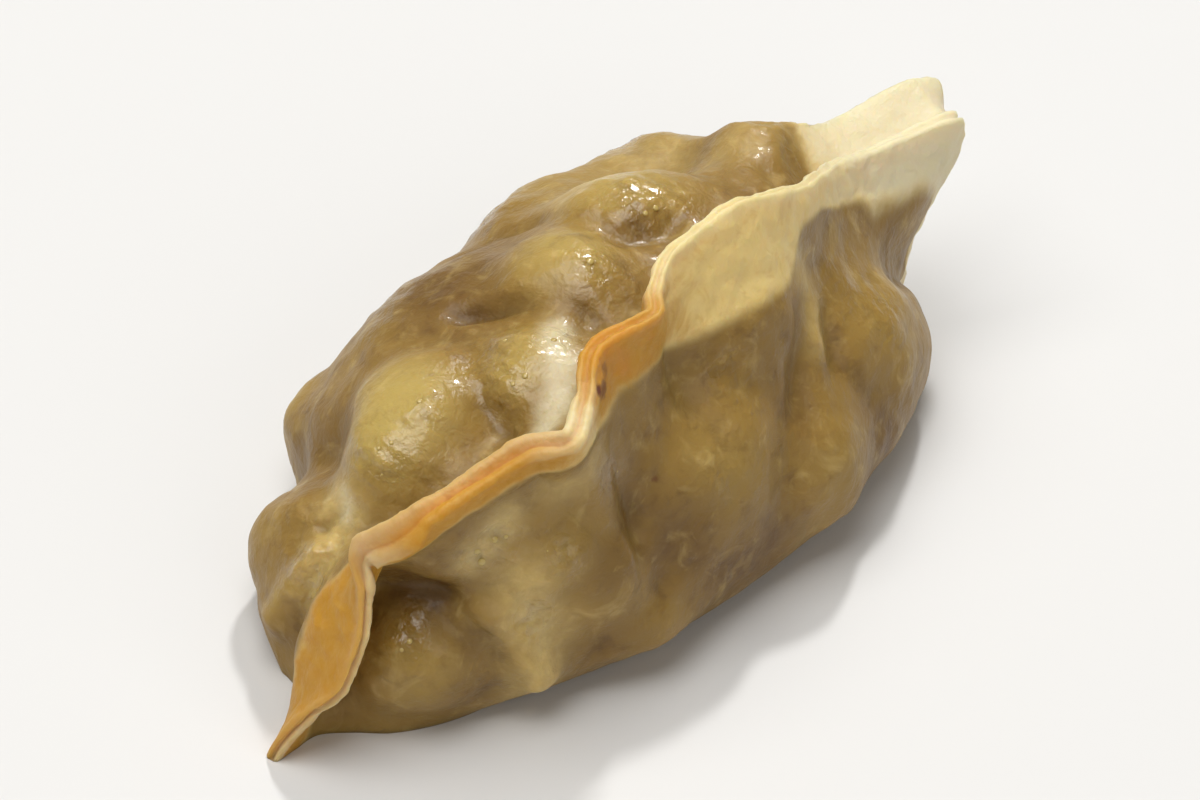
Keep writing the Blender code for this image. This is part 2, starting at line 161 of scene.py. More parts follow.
# Filling pushing against the dough (mm): X, Y, Z of each lump, reach along the seam, reach across, height
LUMPS = (
    (-20.5, 1.0, 19.0, 8.6, 8.0, 3.2),
    (-11.0, -5.5, 22.0, 5.6, 6.2, 2.9),
    (-2.0, 0.5, 24.0, 6.0, 6.8, 2.4),
    (8.0, 4.0, 23.5, 7.6, 7.4, 2.3),
    (20.5, 0.0, 21.0, 7.0, 5.0, 0.2),
    (28.5, 5.0, 10.5, 5.6, 5.6, 0.7),
    (-9.5, 12.0, 16.5, 8.0, 8.0, 1.2),
    (10.5, 14.4, 15.0, 7.6, 8.0, 1.7),
    (17.0, 13.2, 14.0, 6.4, 7.6, 1.5),
    (-26.5, 7.4, 7.6, 6.0, 5.6, 1.2),
    (-2.5, 17.4, 6.0, 6.6, 5.4, 1.6),
    (13.0, 16.2, 5.5, 6.6, 5.4, 1.4),
    (-15.0, 15.4, 6.0, 5.8, 5.6, 2.5),
    (-30.5, -11.5, 8.0, 5.6, 6.6, 2.8),
    (-20.0, -14.6, 17.4, 6.4, 6.6, 2.9),
    (-15.5, -17.0, 11.0, 5.6, 5.6, 1.8),
    (-3.0, -16.5, 14.5, 7.2, 7.8, 2.0),
    (9.0, -18.0, 9.0, 6.2, 6.2, 1.9),
    (20.5, -11.5, 14.0, 7.4, 8.2, 1.9),
    (-12.0, -18.5, 6.0, 5.4, 4.8, 1.5),
    (27.0, -9.5, 6.0, 5.4, 5.2, 0.9),
)
LUMP_SHARPNESS = 2.6

# Pleat ribs and creases (mm): points along the line, half width, height (a crease where it is below zero)
PLEATS = (
    (((-27.0, -3.0, 15.5), (-28.8, -0.4, 12.6), (-31.0, 1.4, 8.0), (-31.8, 2.4, 5.0)), 1.6, 1.4),
    (((-28.4, -9.8, 17.2), (-25.8, -12.6, 12.6), (-23.8, -15.4, 8.0), (-22.6, -16.4, 5.0)), 1.8, 1.8),
    (((-11.2, -14.8, 20.4), (-12.6, -17.2, 15.5), (-11.5, -19.2, 9.0)), 1.4, -0.7),
    (((16.0, -9.5, 21.5), (10.5, -13.6, 19.2), (7.0, -17.0, 14.5)), 1.5, -0.9),
    (((-31.5, -7.5, 13.5), (-29.5, -8.6, 14.6), (-27.6, -10.6, 13.4)), 1.8, -1.3),
    (((3.0, -0.6, 25.0), (6.5, -2.2, 25.0)), 1.2, -1.3),
    (((19.5, -3.2, 22.8), (23.0, -2.2, 21.8), (26.0, 0.5, 20.5)), 1.2, -0.7),
    (((13.0, 9.5, 23.5), (18.0, 8.0, 23.0), (21.8, 6.8, 22.0), (24.5, 5.0, 21.5)), 4.4, -3.4),
    (((26.5, 4.0, 18.5), (32.0, 1.5, 17.0)), 2.6, 1.6),
    (((-20.5, 14.5, 5.0), (-23.5, 11.5, 10.0), (-23.0, 7.0, 15.0)), 3.4, -2.4),
)
RELIEF_LINES = (1.8, 4.0)
RELIEF_HEIGHT = 5.0
BELLY_LINE = 6.5
LAST_LINE = 10.0

# The back tip opens like a fish tail: share along the seam, how far the second lip swings along X, Y and Z
# (mm), and the line that it is on
TAIL_LIP = (
    (0.660, 0.0, 0.0, 0.0, 3.4),
    (0.700, 0.2, 1.2, 0.6, 3.1),
    (0.740, 0.9, 4.4, 2.8, 2.6),
    (0.780, 1.0, 5.0, 3.4, 2.0),
    (0.820, 1.0, 4.8, 3.0, 1.5),
    (0.855, 2.6, 3.9, 3.3, 1.0),
    (0.875, 3.4, 2.8, 4.4, 0.8),
    (0.895, 2.4, 1.6, 2.2, 0.5),
    (0.915, 0.2, 0.3, 0.2, 0.3),
    (0.930, 0.0, 0.0, 0.0, 0.2),
)
TAIL_LIP_WIDTH_INSIDE = 0.5
TAIL_LIP_WIDTH_OUTSIDE = 3.0

# Skin grid: stations along the seam, rows down the frill and down the belly, rows round the edge, base rows
STATIONS = 400
FRILL_ROWS = 26
BELLY_ROWS = 78
FRILL_LINES = 2.0
CROWN_ROWS = 9
BASE_ROWS = 14

# The steep side's layer hangs a little lower near the front bend: share, swing along X, Y and Z (mm)
STEEP_LIP = (
    (0.185, 0.0, 0.0, 0.0),
    (0.205, 0.3, -0.9, -1.1),
    (0.225, 0.4, -0.9, -1.1),
    (0.250, 0.0, -0.2, -0.2),
    (0.270, 0.0, 0.0, 0.0),
)
STEEP_LIP_WIDTH = 0.9

# Finer pleats and creases than the coarse shape carries (mm): points, half width, height
FINE_PLEATS = (
    (((-9.4, 5.0, 20.8), (-7.3, 1.6, 22.9), (-6.1, -1.0, 24.2), (-5.2, -3.1, 24.2),
      (-5.0, -5.1, 23.7)), 0.9, -1.1),
    (((3.0, 5.0, 24.4), (3.5, 0.6, 24.8), (4.5, -0.5, 24.6), (6.4, -1.4, 24.6),
      (8.3, -1.6, 25.0)), 0.9, -1.2),
    (((-1.2, 12.6, 18.2), (1.5, 11.9, 19.2), (3.0, 9.1, 21.0), (2.6, 5.4, 24.0)), 1.1, -0.7),
    (((-17.5, 3.5, 20.5), (-16.4, 0.5, 21.3), (-16.2, -3.5, 20.8), (-16.4, -7.1, 20.5)), 1.2, -0.8),
    (((13.0, -10.6, 23.0), (13.2, -11.8, 19.6), (12.0, -13.8, 17.0)), 0.8, 0.5),
    (((15.4, -10.4, 22.5), (15.2, -12.2, 18.5), (13.2, -14.8, 14.5)), 0.9, -0.8),
    (((-14.0, -15.2, 21.0), (-12.4, -17.2, 15.5), (-13.6, -18.8, 10.5)), 0.9, -0.7),
    (((20.0, 2.2, 23.0), (24.0, 2.4, 21.4), (28.0, 3.4, 18.6)), 0.8, -0.6),
    (((21.5, -1.0, 22.8), (25.0, -0.6, 21.4), (28.5, 0.6, 19.6)), 0.7, 0.5),
    (((-28.0, 1.6, 12.2), (-26.0, 1.0, 15.4), (-24.6, -0.6, 17.6)), 0.8, -0.6),
    (((-30.6, -0.6, 11.4), (-28.0, -1.2, 14.2), (-26.0, -2.0, 16.6)), 0.7, 0.5),
    (((14.0, 15.5, 12.5), (20.0, 14.0, 14.5), (26.0, 9.0, 15.0)), 1.2, -0.7),
    (((-8.0, 15.0, 15.5), (-2.0, 17.0, 12.0), (3.0, 18.0, 7.0)), 1.2, -0.7),
)

# The two layers of dough part along the frill's edge: groove depth (mm) and its width as a share of the edge
GROOVE_DEPTH = 0.6
GROOVE_WIDTH = 0.3

# Finish along the frill: share of the way along the seam, how golden, how toasted and how creamy it is, the
# lines between which it fades into the belly on the steep side and on the full side
FRILL_FINISH = (
    (0.000, 0.90, 0.00, 0.00, 1.0, 2.0, 1.4, 2.3),
    (0.060, 1.00, 0.05, 0.00, 1.0, 2.0, 1.4, 2.3),
    (0.180, 1.00, 0.15, 0.00, 0.9, 1.6, 1.3, 2.2),
    (0.205, 0.75, 0.00, 0.30, 0.9, 1.5, 0.8, 1.6),
    (0.240, 1.00, 0.22, 0.00, 0.6, 1.5, 0.3, 0.9),
    (0.300, 1.00, 0.20, 0.00, 0.5, 1.2, 0.2, 0.7),
    (0.335, 0.75, 0.05, 0.10, 0.7, 1.5, 0.3, 0.9),
    (0.358, 0.35, 0.00, 0.40, 0.8, 1.6, 0.4, 1.2),
    (0.385, 0.80, 0.40, 0.05, 1.2, 2.1, 0.3, 0.8),
    (0.410, 1.00, 0.75, 0.00, 1.2, 2.1, 0.3, 0.8),
    (0.445, 0.95, 0.50, 0.00, 1.2, 2.0, 0.4, 1.0),
    (0.475, 0.45, 0.05, 0.10, 1.4, 2.0, 0.6, 1.4),
    (0.520, 0.12, 0.00, 0.10, 1.5, 2.1, 0.8, 1.7),
    (0.595, 0.10, 0.00, 0.20, 1.5, 2.1, 0.8, 1.7),
    (0.635, 0.05, 0.00, 0.30, 0.6, 1.3, 0.8, 1.8),
    (0.665, 0.05, 0.00, 0.35, 0.7, 1.3, 0.8, 1.8),
    (0.710, 0.00, 0.00, 0.50, 1.3, 2.0, 0.8, 1.8),
    (0.745, 0.00, 0.00, 0.60, 1.4, 2.2, 1.4, 2.6),
    (0.780, 0.00, 0.00, 0.75, 1.7, 2.6, 2.2, 3.2),
    (0.850, 0.00, 0.00, 1.00, 1.5, 2.4, 1.8, 2.8),
    (0.900, 0.05, 0.00, 0.90, 1.0, 1.9, 0.9, 1.8),
    (1.000, 0.15, 0.00, 0.60, 0.6, 1.2, 0.6, 1.2),
)
EDGE_FADE = 0.35
# Rims of the two layers: share along the seam, how pale the full side's rim and the steep side's rim are, and
# how brown the groove between them is. The pale rims are painted light, a bright line where light shows
# through the thin edge
FRILL_RIMS = (
    (0.000, 0.10, 0.55, 0.00),
    (0.180, 0.15, 0.60, 0.10),
    (0.205, 0.35, 0.45, 0.60),
    (0.240, 0.32, 0.00, 1.30),
    (0.310, 0.32, 0.00, 1.40),
    (0.345, 0.60, 0.40, 0.50),
    (0.375, 0.40, 0.30, 0.50),
    (0.400, 0.00, 0.00, 0.80),
    (0.450, 0.10, 0.10, 0.40),
    (0.480, 0.50, 0.50, 0.10),
    (0.650, 0.60, 0.50, 0.10),
    (0.850, 0.90, 0.90, 0.00),
    (1.000, 0.60, 0.60, 0.00),
)

# Patches on the dough (mm): X, Y, Z, reach, strength
WET_PATCHES = (
    (-23.7, -1.2, 18.8, 2.6, 1.0),
    (-20.0, -1.2, 21.2, 2.0, 0.8),
    (-24.3, 1.3, 18.0, 1.8, 0.8),
    (-13.3, -3.0, 23.1, 3.6, 1.0),
    (-8.6, -4.6, 24.0, 2.6, 0.9),
    (-2.1, -2.2, 25.6, 2.4, 0.9),
    (6.5, 1.8, 25.6, 2.6, 1.0),
    (8.7, 0.3, 25.5, 2.4, 1.0),
    (6.5, -0.4, 25.2, 2.0, 0.9),
    (-31.0, 0.2, 10.0, 2.2, 1.0),
    (-26.8, 0.3, 14.2, 1.6, 0.7),
    (-30.8, -10.1, 10.0, 2.2, 1.0),
    (-24.6, -13.6, 18.4, 2.2, 1.0),
    (-26.1, -12.8, 17.0, 1.8, 0.9),
    (-22.6, -15.8, 10.8, 2.2, 0.9),
    (-20.2, -16.3, 16.5, 2.0, 0.8),
    (-14.4, -15.7, 20.6, 1.8, 0.8),
    (0.7, -13.7, 21.3, 2.6, 0.5),
    (5.5, 16.5, 16.5, 3.4, 0.7),
    (19.5, 13.5, 16.0, 3.0, 0.7),
    (-9.5, 14.5, 19.0, 3.2, 0.7),
    (20.5, -13.0, 16.0, 2.8, 0.5),
)
# Dark patches, partly filling showing through the dough and partly painted shade: under the front flange, low
# on the steep side and on the far slope
FILLING_AND_SHADE_PATCHES = (
    (-27.4, -9.3, 13.0, 3.4, 1.2),
    (-28.4, -10.4, 11.3, 3.0, 0.7),
    (-31.6, -10.6, 8.9, 3.4, 0.2),
    (-29.4, -12.9, 8.0, 3.6, 0.2),
    (-26.4, -13.6, 9.6, 2.4, 0.9),
    (-27.6, -14.6, 4.0, 3.6, 0.7),
    (-12.8, -16.9, 15.5, 3.0, 0.4),
    (5.6, -16.8, 15.3, 3.4, 0.4),
    (-16.5, -19.1, 6.5, 5.0, 0.6),
    (-2.0, -19.5, 6.0, 6.0, 0.8),
    (14.0, -17.0, 6.0, 6.0, 0.7),
    (4.7, 0.0, 25.2, 1.4, 0.8),
    (-7.8, 9.7, 19.8, 6.0, 1.0),
    (-8.3, -18.9, 11.6, 4.6, 0.9),
    (-16.2, -18.3, 13.3, 3.6, 0.8),
    (-4.4, -2.6, 23.6, 1.5, 0.6),
    (-16.5, -2.5, 20.6, 2.2, 0.4),
    (21.8, 6.8, 20.5, 2.6, 0.3),
)
# Streaks of thick dough (mm): points along the line, reach, strength; first the whitish ones, then the pale
WHITE_LINES = (
    (((-7.6, -3.2, 24.2), (-9.0, -4.5, 24.2), (-10.4, -6.7, 23.7), (-12.5, -8.4, 22.7), (-15.0, -9.8, 21.6)),
     1.9, 0.66),
    (((-26.0, 1.4, 14.6), (-27.0, 0.5, 13.7)), 1.2, 0.5),
)
PALE_LINES = (
    (((-26.4, 2.3, 13.7), (-26.8, 0.5, 13.9), (-28.2, 0.5, 12.8), (-29.7, -0.3, 11.5)), 2.0, 0.8),
    (((-29.7, -0.3, 11.5), (-31.0, 0.2, 9.8), (-32.2, -0.8, 8.6)), 1.6, 0.6),
    (((-23.4, -15.1, 14.3), (-23.2, -15.5, 11.6), (-21.9, -16.4, 9.0), (-22.6, -17.1, 5.5),
      (-23.6, -17.3, 2.0)),
     2.7, 0.7),
    (((-26.4, -12.6, 16.6), (-25.0, -13.3, 18.5), (-23.8, -13.6, 20.3)), 1.7, 0.7),
    (((13.0, -10.6, 23.0), (13.2, -11.8, 19.6), (12.0, -13.8, 17.0)), 1.6, 0.5),
    (((-16.4, -15.4, 23.0), (-18.0, -15.4, 21.5), (-20.5, -15.2, 21.5)), 1.6, 0.5),
    (((18.0, 4.0, 23.5), (24.0, 2.4, 21.6), (29.0, 3.0, 18.8)), 2.4, 0.5),
    (((9.0, 8.0, 23.0), (16.6, 9.1, 18.7), (20.0, 9.5, 18.6)), 4.4, 0.5),
)
CRUMPLED_PATCHES = (
    (-12.2, -9.2, 22.4, 3.0, 0.8),
    (-28.2, 0.3, 13.0, 3.4, 1.0),
    (-24.0, -1.0, 18.8, 2.6, 0.7),
    (5.6, 0.8, 25.4, 3.4, 1.0),
    (8.8, 1.2, 25.3, 2.6, 0.9),
    (24.0, 0.4, 21.8, 3.6, 0.9),
    (-25.0, -13.2, 17.6, 3.0, 1.0),
    (-22.6, -16.0, 10.4, 3.0, 0.8),
    (30.0, 1.0, 15.0, 4.0, 0.7),
)
# Dark specks of filling and scorch (mm): X, Y, Z, radius, strength
SPECKS = (
    (-14.3, -14.0, 28.1, 0.85, 1.0),
    (-13.4, -13.8, 27.4, 1.1, 0.75),
    (-12.2, -13.0, 28.2, 0.9, 0.5),
    (-9.6, -16.2, 17.4, 0.5, 0.8),
    (-2.6, -8.9, 28.6, 0.5, 0.7),
    (0.7, -13.7, 21.3, 0.3, 0.6),
    (-2.4, 6.4, 23.6, 0.5, 0.8),
    (7.0, 15.0, 19.5, 0.6, 0.6),
    (-16.0, 12.5, 14.0, 0.5, 0.6),
    (22.5, -13.6, 11.0, 0.5, 0.6),
)

# Noises of the finish: size of their blotches (mm), detail, roughness, seed and distortion
NOISES = {
    "blotches": (7.0, 3.0, 0.55, 1.0, 0.0),
    "mince": (2.2, 4.0, 0.6, 2.0, 0.4),
    "flour": (0.9, 3.0, 0.6, 3.0, 0.0),
    "streaks": (3.2, 3.0, 0.6, 4.0, 1.6),
    "film": (3.4, 3.0, 0.6, 5.0, 0.0),
    "ripples": (0.8, 2.0, 0.5, 6.0, 0.6),
    "pores": (0.32, 2.0, 0.6, 7.0, 0.0),
    "creases": (1.8, 3.0, 0.55, 8.0, 1.2),
}
# Tones with an uneven rim: the noise, how far it shifts the rim, where the tone begins and where it is full
TONE_RIMS = {
    # The lit tone is painted light on the lump tops; the hollow tone is painted shade between them
    "lit": ("blotches", 1.6, 0.6, 3.4),
    "hollow_shade": ("mince", 1.1, 0.0, 0.9),
    "frill": ("mince", 0.35, 0.1, 0.9),
    "golden": ("streaks", 0.7, 0.15, 0.8),
    "toasted": ("streaks", 1.4, 0.4, 1.0),
    "cream": ("mince", 0.5, 0.1, 0.9),
}
# Tones in blotches: the noise, where the tone begins and is full, and the share of it that is mixed in
TONE_BLOTCHES = {
    "mottle": ("mince", 0.52, 0.72, 0.34),
    "bloom": ("streaks", 0.5, 0.8, 0.3),
    "golden": ("streaks", 0.48, 0.75, 0.3),
}
# Tones mixed in patchily: the noise, the least share and how much the noise adds
TONE_SHARES = {
    # filling: the dark patches, partly filling seen through the dough and partly painted shade
    "filling": ("mince", 0.55, 0.6),
    "golden": ("flour", 0.72, 0.4),
    "pale": ("flour", 0.25, 0.9),
    "groove": ("streaks", 0.35, 0.9),
    "edge": ("flour", 0.4, 0.8),
}
# Painted shade: how much of the lit tone the steep side loses
STEEP_SHADE = 0.65
# Painted shade in the hollows between lumps: where it begins, how much the lumps take away, and its share
HOLLOW_SHADE_BASE = 0.55
HOLLOW_SHADE_LOST_ON_SWELL = 0.45
HOLLOW_SHADE_SHARE = 0.5
# Share of the filling colour, where filling shows through and where it paints shade
FILLING_AND_SHADE_SHARE = 0.85
TOASTED_SHARE = 0.85
TOAST_ON_EDGE = 0.6
SPECK_WOBBLE = 1.4
SPECK_CORE = 0.35

# Film of moisture: where its noise begins and is full, its share, and how much of that the frill takes
FILM_RANGE = (0.52, 0.68)
FILM_SHARE = 0.5
FILM_LOST_ON_FRILL = 0.35
# Roughness and coat when dry, and what the moist film, the wet patches and the frill add
ROUGHNESS = (0.46, -0.12, -0.25, 0.06)
COAT = (0.1, 0.3, 0.6, -0.1)
DOUGH_BODY = {
    "Coat Roughness": 0.08, "Coat IOR": 1.36, "IOR": 1.38, "Subsurface Weight": 0.4,
    "Subsurface Radius": (1.0, 0.6, 0.22), "Subsurface Scale": 2.6 * MM,
}
# Bumps: greatest height (m), and how strong the ripples, the pores and the creases are in it
BUMP_HEIGHT = 0.18 * MM
RIPPLE_BUMP = 0.4
RIPPLE_BUMP_MOIST = 1.4
PORE_BUMP = 0.14
CREASE_BUMP = 0.9

# Camera (mm and degrees): what it looks at, how far off it stands, its height above the horizon, the side
# it looks from, its roll, and its long lens
LOOK_AT = (-0.7, -2.6, 11.6)
CAMERA_DISTANCE = 786.5
CAMERA_ELEVATION = 41.0
CAMERA_AXIS_TURN = 40.0
CAMERA_ROLL = 4.0
CAMERA_LENS = 300.0
CAMERA_SENSOR = 36.0
CAMERA_CLIP = (0.01, 20.0)

FLOOR_SIZE = 4.0
FLOOR_ROUGHNESS = 0.6
SKY_COLOUR = (1.0, 0.98, 0.95, 1.0)
# Soft lights (m, degrees): name, size, distance, compass turn from the camera's side, height above the
# horizon, share of the light power
LIGHTS = (
    ("overhead_softbox", (0.8, 0.8), 1.0, -60.0, 72.0, 1.0),
    ("window", (0.07, 0.10), 0.9, 172.0, 52.0, 0.42),
    ("front_fill", (0.9, 0.6), 1.1, 40.0, 34.0, 0.24),
)


def length_property(name, description, default, least):
    """A length that a user may change, with its default and its least value in millimetres."""
    return FloatProperty(
        name=name, description=description, default=default * MM, min=least * MM, unit="LENGTH")


class DumplingSizes(bpy.types.PropertyGroup):
    """Sizes of the relief and of the moisture."""

    grain_size: length_property("Grain size", "Width of the filling's small lumps under the dough", 4.2, 0.5)
    grain_height: length_property("Grain height", "Height of the filling's small lumps", 0.5, 0.0)
    wrinkle_size: length_property(
        "Wrinkle size", "Width of the wrinkles where the dough is crumpled", 1.7, 0.2)
    wrinkle_height: length_property(
        "Wrinkle height", "Height of the wrinkles where the dough is crumpled", 0.5, 0.0)
    ripple_size: length_property("Ripple size", "Width of the ripples in the moist patches", 1.1, 0.2)
    ripple_height: length_property("Ripple height", "Height of the ripples in the moist patches", 0.4, 0.0)
    crinkle_size: length_property("Crinkle size", "Width of the frill's crinkles", 2.4, 0.2)
    crinkle_height: length_property("Crinkle height", "Height of the frill's crinkles", 0.36, 0.0)
    bead_radius: length_property("Bead radius", "Radius of the largest beads of moisture", 0.34, 0.05)
    bead_spacing: length_property("Bead spacing", "Least distance between beads of moisture", 0.9, 0.2)
    seed: IntProperty(name="Seed", description="Seed of the relief and the beads", default=7, min=0)


def colour_property(name, description, default):
    """A colour that a user may change."""
    return FloatVectorProperty(
        name=name, description=description, subtype="COLOR", size=4, min=0.0, max=1.0,
        default=(*default, 1.0))


class DumplingColours(bpy.types.PropertyGroup):
    """Colours of the dough and of what shows through it; the swell and filling colours also paint light and
    shade.
    """

    belly: colour_property("Belly", "Thin dough over the filling", (0.315, 0.19, 0.042))
    # The swell colour is painted light: the lighter tone on top of the lumps
    swell: colour_property("Swell", "Dough on top of the lumps", (0.49, 0.355, 0.10))
    # The filling colour also paints shade: in the hollows between lumps, under the front flange and low on
    # the steep side
    filling: colour_property("Filling", "Filling showing through in hollows", (0.120, 0.056, 0.011))
    pressed: colour_property("Pressed dough", "Pressed dough of the frill", (0.76, 0.565, 0.215))
    golden: colour_property("Golden", "Golden part of the frill", (0.50, 0.235, 0.010))
    toasted: colour_property("Toasted", "Toasted patch of the frill", (0.57, 0.24, 0.022))
    cream: colour_property("Cream", "Thick floury dough", (0.74, 0.65, 0.42))
    speck: colour_property("Speck", "Specks of filling and scorch", (0.13, 0.026, 0.007))


class DumplingStage(bpy.types.PropertyGroup):
    """Floor, lights and surroundings."""

    floor: colour_property("Floor", "Plain pale floor", (0.70, 0.69, 0.67))
    light_power: FloatProperty(
        name="Light power", description="Power of the overhead softbox", default=8.5, min=0.0, unit="POWER")
    sky_strength: FloatProperty(
        name="Sky strength", description="Strength of the even light from all round", default=0.2, min=0.0)


def curve_through(knots, values, at):
    """A curve through the values at the knots that never swings past them."""
    knots = np.asarray(knots, float)
    values = np.asarray(values, float)
    slope = np.diff(values) / np.diff(knots)
    tangent = np.empty_like(values)
    product = slope[:-1] * slope[1:]
    total = slope[:-1] + slope[1:]
    safe = np.where(np.abs(total) > 1e-9, total, 1.0)
    tangent[1:-1] = np.where(product > 0.0, 2.0 * product / safe, 0.0)
    tangent[0] = slope[0]
    tangent[-1] = slope[-1]
    at = np.clip(at, knots[0], knots[-1])
    left = np.clip(np.searchsorted(knots, at) - 1, 0, len(knots) - 2)
    gap = knots[left + 1] - knots[left]
    t = (at - knots[left]) / gap
    rise = (3.0 * t ** 2 - 2.0 * t ** 3) * (values[left + 1] - values[left])
    bend = (t ** 3 - 2.0 * t ** 2 + t) * gap * tangent[left] + (t ** 3 - t ** 2) * gap * tangent[left + 1]
    return values[left] + rise + bend


def column(table, index):
    """One column of a table of rows."""
    return [row[index] for row in table]


def along_seam(table, index, share):
    """A column of a table whose first column is the share along the seam, as a curve."""
    return curve_through(column(table, 0), column(table, index), share)


def half_moon_x(share, front, back):
    """X along a half-moon with its own half length to the front and to the back."""
    swing = -np.cos(np.pi * share)
    return np.where(swing < 0.0, swing * front, swing * back)


def half_moon_height(share, fullness):
    """Height along a half-moon, one at its middle and nothing at its tips."""
    return np.maximum(np.sin(np.pi * share), 1e-9) ** fullness


def unit(vectors):
    """The vectors with length one."""
    return vectors / (np.linalg.norm(vectors, axis=-1, keepdims=True) + 1e-12)


def smooth_step(value):
    """Zero below nothing, one above one, and an even curve between."""
    t = np.clip(value, 0.0, 1.0)
    return t * t * (3.0 - 2.0 * t)


def frill_lines(share):
    """The frill's edge, middle line and root, as a sheet without thickness."""
    seam_y = SEAM_Y_AT_TIPS + (SEAM_Y_AT_MIDDLE - SEAM_Y_AT_TIPS) * np.sin(np.pi * share)
    lines = []
    for place, (front, back, top) in enumerate((EDGE_REACH, MIDDLE_REACH, ROOT_REACH)):
        x = half_moon_x(share, front, back)
        y = seam_y + along_seam(FOLDS, place + 1, share)
        z = top * half_moon_height(share, SEAM_FULLNESS)
        lines.append(np.stack([x, y, z], axis=-1))
    outward = lines[0] - lines[2]
    outward[:, 1] = 0.0
    further = unit(outward) * along_seam(FOLDS, 4, share)[:, None]
    rise = along_seam(FOLDS, 5, share) * half_moon_height(share, RISE_FULLNESS)
    further[:, 2] = further[:, 2] + rise
    lines[0] = lines[0] + further
    lines[1] = lines[1] + further * MIDDLE_SHARE_OF_REACH
    lines[2] = lines[2] + further * ROOT_SHARE_OF_REACH
    left = along_seam(FOLDS, 6, share)[:, None]
    lines[1] = lines[0] + (lines[1] - lines[0]) * left
    lines[2] = lines[0] + (lines[2] - lines[0]) * left
    return np.stack(lines)


def frill_normals(lines):
    """Which way the frill's sheet faces on its +Y side."""
    facing = unit(np.cross(np.gradient(lines, axis=0), np.gradient(lines, axis=1)))
    return facing if facing[1, :, 1].mean() > 0.0 else -facing


def side_lines(share, side):
    """All lines of one side, from the frill's edge to the rim of the flat base."""
    frill = frill_lines(share)
    facing = frill_normals(frill)
    times = [along_seam(THICKNESS_TIMES, i, share)[:, None] for i in (1, 2)] + [1.0]
    lines = [frill[i] + side * facing[i] * HALF_THICKNESS[i] * times[i] for i in range(3)]
    root_swing = along_seam(FOLDS, 3, share)
    lean = FULL_SIDE_LEAN if side > 0 else 1.0
    bell = half_moon_height(share ** lean, 1.0)
    table = FULL_SIDE if side > 0 else STEEP_SIDE
    for place, (front, back, y_front, y_back, y_middle, z_middle) in enumerate(table):
        fullness = FULLNESS_FRONT + (FULLNESS_BACK - FULLNESS_FRONT) * share * BLUNT_SHARE_IN_BELLY[place]
        y_tip = y_front + (y_back - y_front) * share
        x = half_moon_x(share, front, back)
        y = y_tip + (y_middle - y_tip) * bell ** BELLY_WIDTH_FULLNESS
        y = y + FOLD_SHARE_IN_BELLY[place] * root_swing
        lines.append(np.stack([x, y, z_middle * bell ** fullness], axis=-1))
    return np.stack(lines)


def surface_through(lines, at):
    """Points of the smooth surface through the lines, at the given places between them."""
    last = len(lines) - 1
    start = np.clip(np.floor(at).astype(int), 0, last - 1)
    t = (at - start)[:, None, None]
    before = lines[np.maximum(start - 1, 0)]
    here = lines[start]
    after = lines[start + 1]
    beyond = lines[np.minimum(start + 2, last)]
    cubic = 3.0 * here - before - 3.0 * after + beyond
    square = 2.0 * before - 5.0 * here + 4.0 * after - beyond
    return here + 0.5 * t * (after - before + t * (square + t * cubic))


def distance_to_line(points, line):
    """Distance from each point to the nearest stretch of a line."""
    nearest = np.full(points.shape[:-1], np.inf)
    for start, end in zip(line[:-1], line[1:]):
        start = np.array(start)
        along = np.array(end) - start
        share = np.clip((points - start) @ along / (along @ along), 0.0, 1.0)
        gap = np.linalg.norm(points - start - share[..., None] * along, axis=-1)
        nearest = np.minimum(nearest, gap)
    return nearest


def relief(points):
    """How far the filling's lumps and the pleats push the dough out."""
    total = np.ones(points.shape[:-1])
    for x, y, z, along, across, height in LUMPS:
        reach = np.array((along, across, across))
        squared = np.sum(((points - np.array((x, y, z))) / reach) ** 2, axis=-1)
        total = total + np.exp(LUMP_SHARPNESS * height * (1.0 - squared))
    push = np.log(total) / LUMP_SHARPNESS
    for line, half_width, height in PLEATS + FINE_PLEATS:
        push = push + height * np.exp(-(distance_to_line(points, line) / half_width) ** 2)
    return push


def lip_swing(table, share):
    """How far a lip swings along X, Y and Z at each share of the seam."""
    return np.stack([along_seam(table, i, share) for i in (1, 2, 3)], axis=-1)


def tail_lip(share, at):
    """Swing of the second lip that opens the back tip like a fish tail."""
    offset = at[:, None] - along_seam(TAIL_LIP, 4, share)[None, :]
    width = np.where(offset < 0.0, TAIL_LIP_WIDTH_INSIDE, TAIL_LIP_WIDTH_OUTSIDE)
    return np.exp(-(offset / width) ** 2)[..., None] * lip_swing(TAIL_LIP, share)


def steep_lip(share, at):
    """Swing of the steep side's layer where it hangs lower near the front bend."""
    return np.exp(-(at[:, None] / STEEP_LIP_WIDTH) ** 2)[..., None] * lip_swing(STEEP_LIP, share)


def skin(share, at, side):
    """Points of one side of the dough, from the frill's edge down, and how far each is pushed."""
    points = surface_through(side_lines(share, side), at)
    facing = unit(np.cross(np.gradient(points, axis=0), np.gradient(points, axis=1)))
    belly_line = int(np.argmin(np.abs(at - BELLY_LINE)))
    if facing[belly_line, len(share) // 2, 1] * side < 0.0:
        facing = -facing
    below_frill = smooth_step((at - RELIEF_LINES[0]) / (RELIEF_LINES[1] - RELIEF_LINES[0]))
    above_base = smooth_step(points[..., 2] / RELIEF_HEIGHT)
    push = relief(points) * below_frill[:, None] * above_base
    points = points + facing * push[..., None]
    if side > 0:
        points = points + tail_lip(share, at)
    else:
        points = points + steep_lip(share, at)
    points[..., 2] = np.maximum(points[..., 2], 0.0)
    return points, push


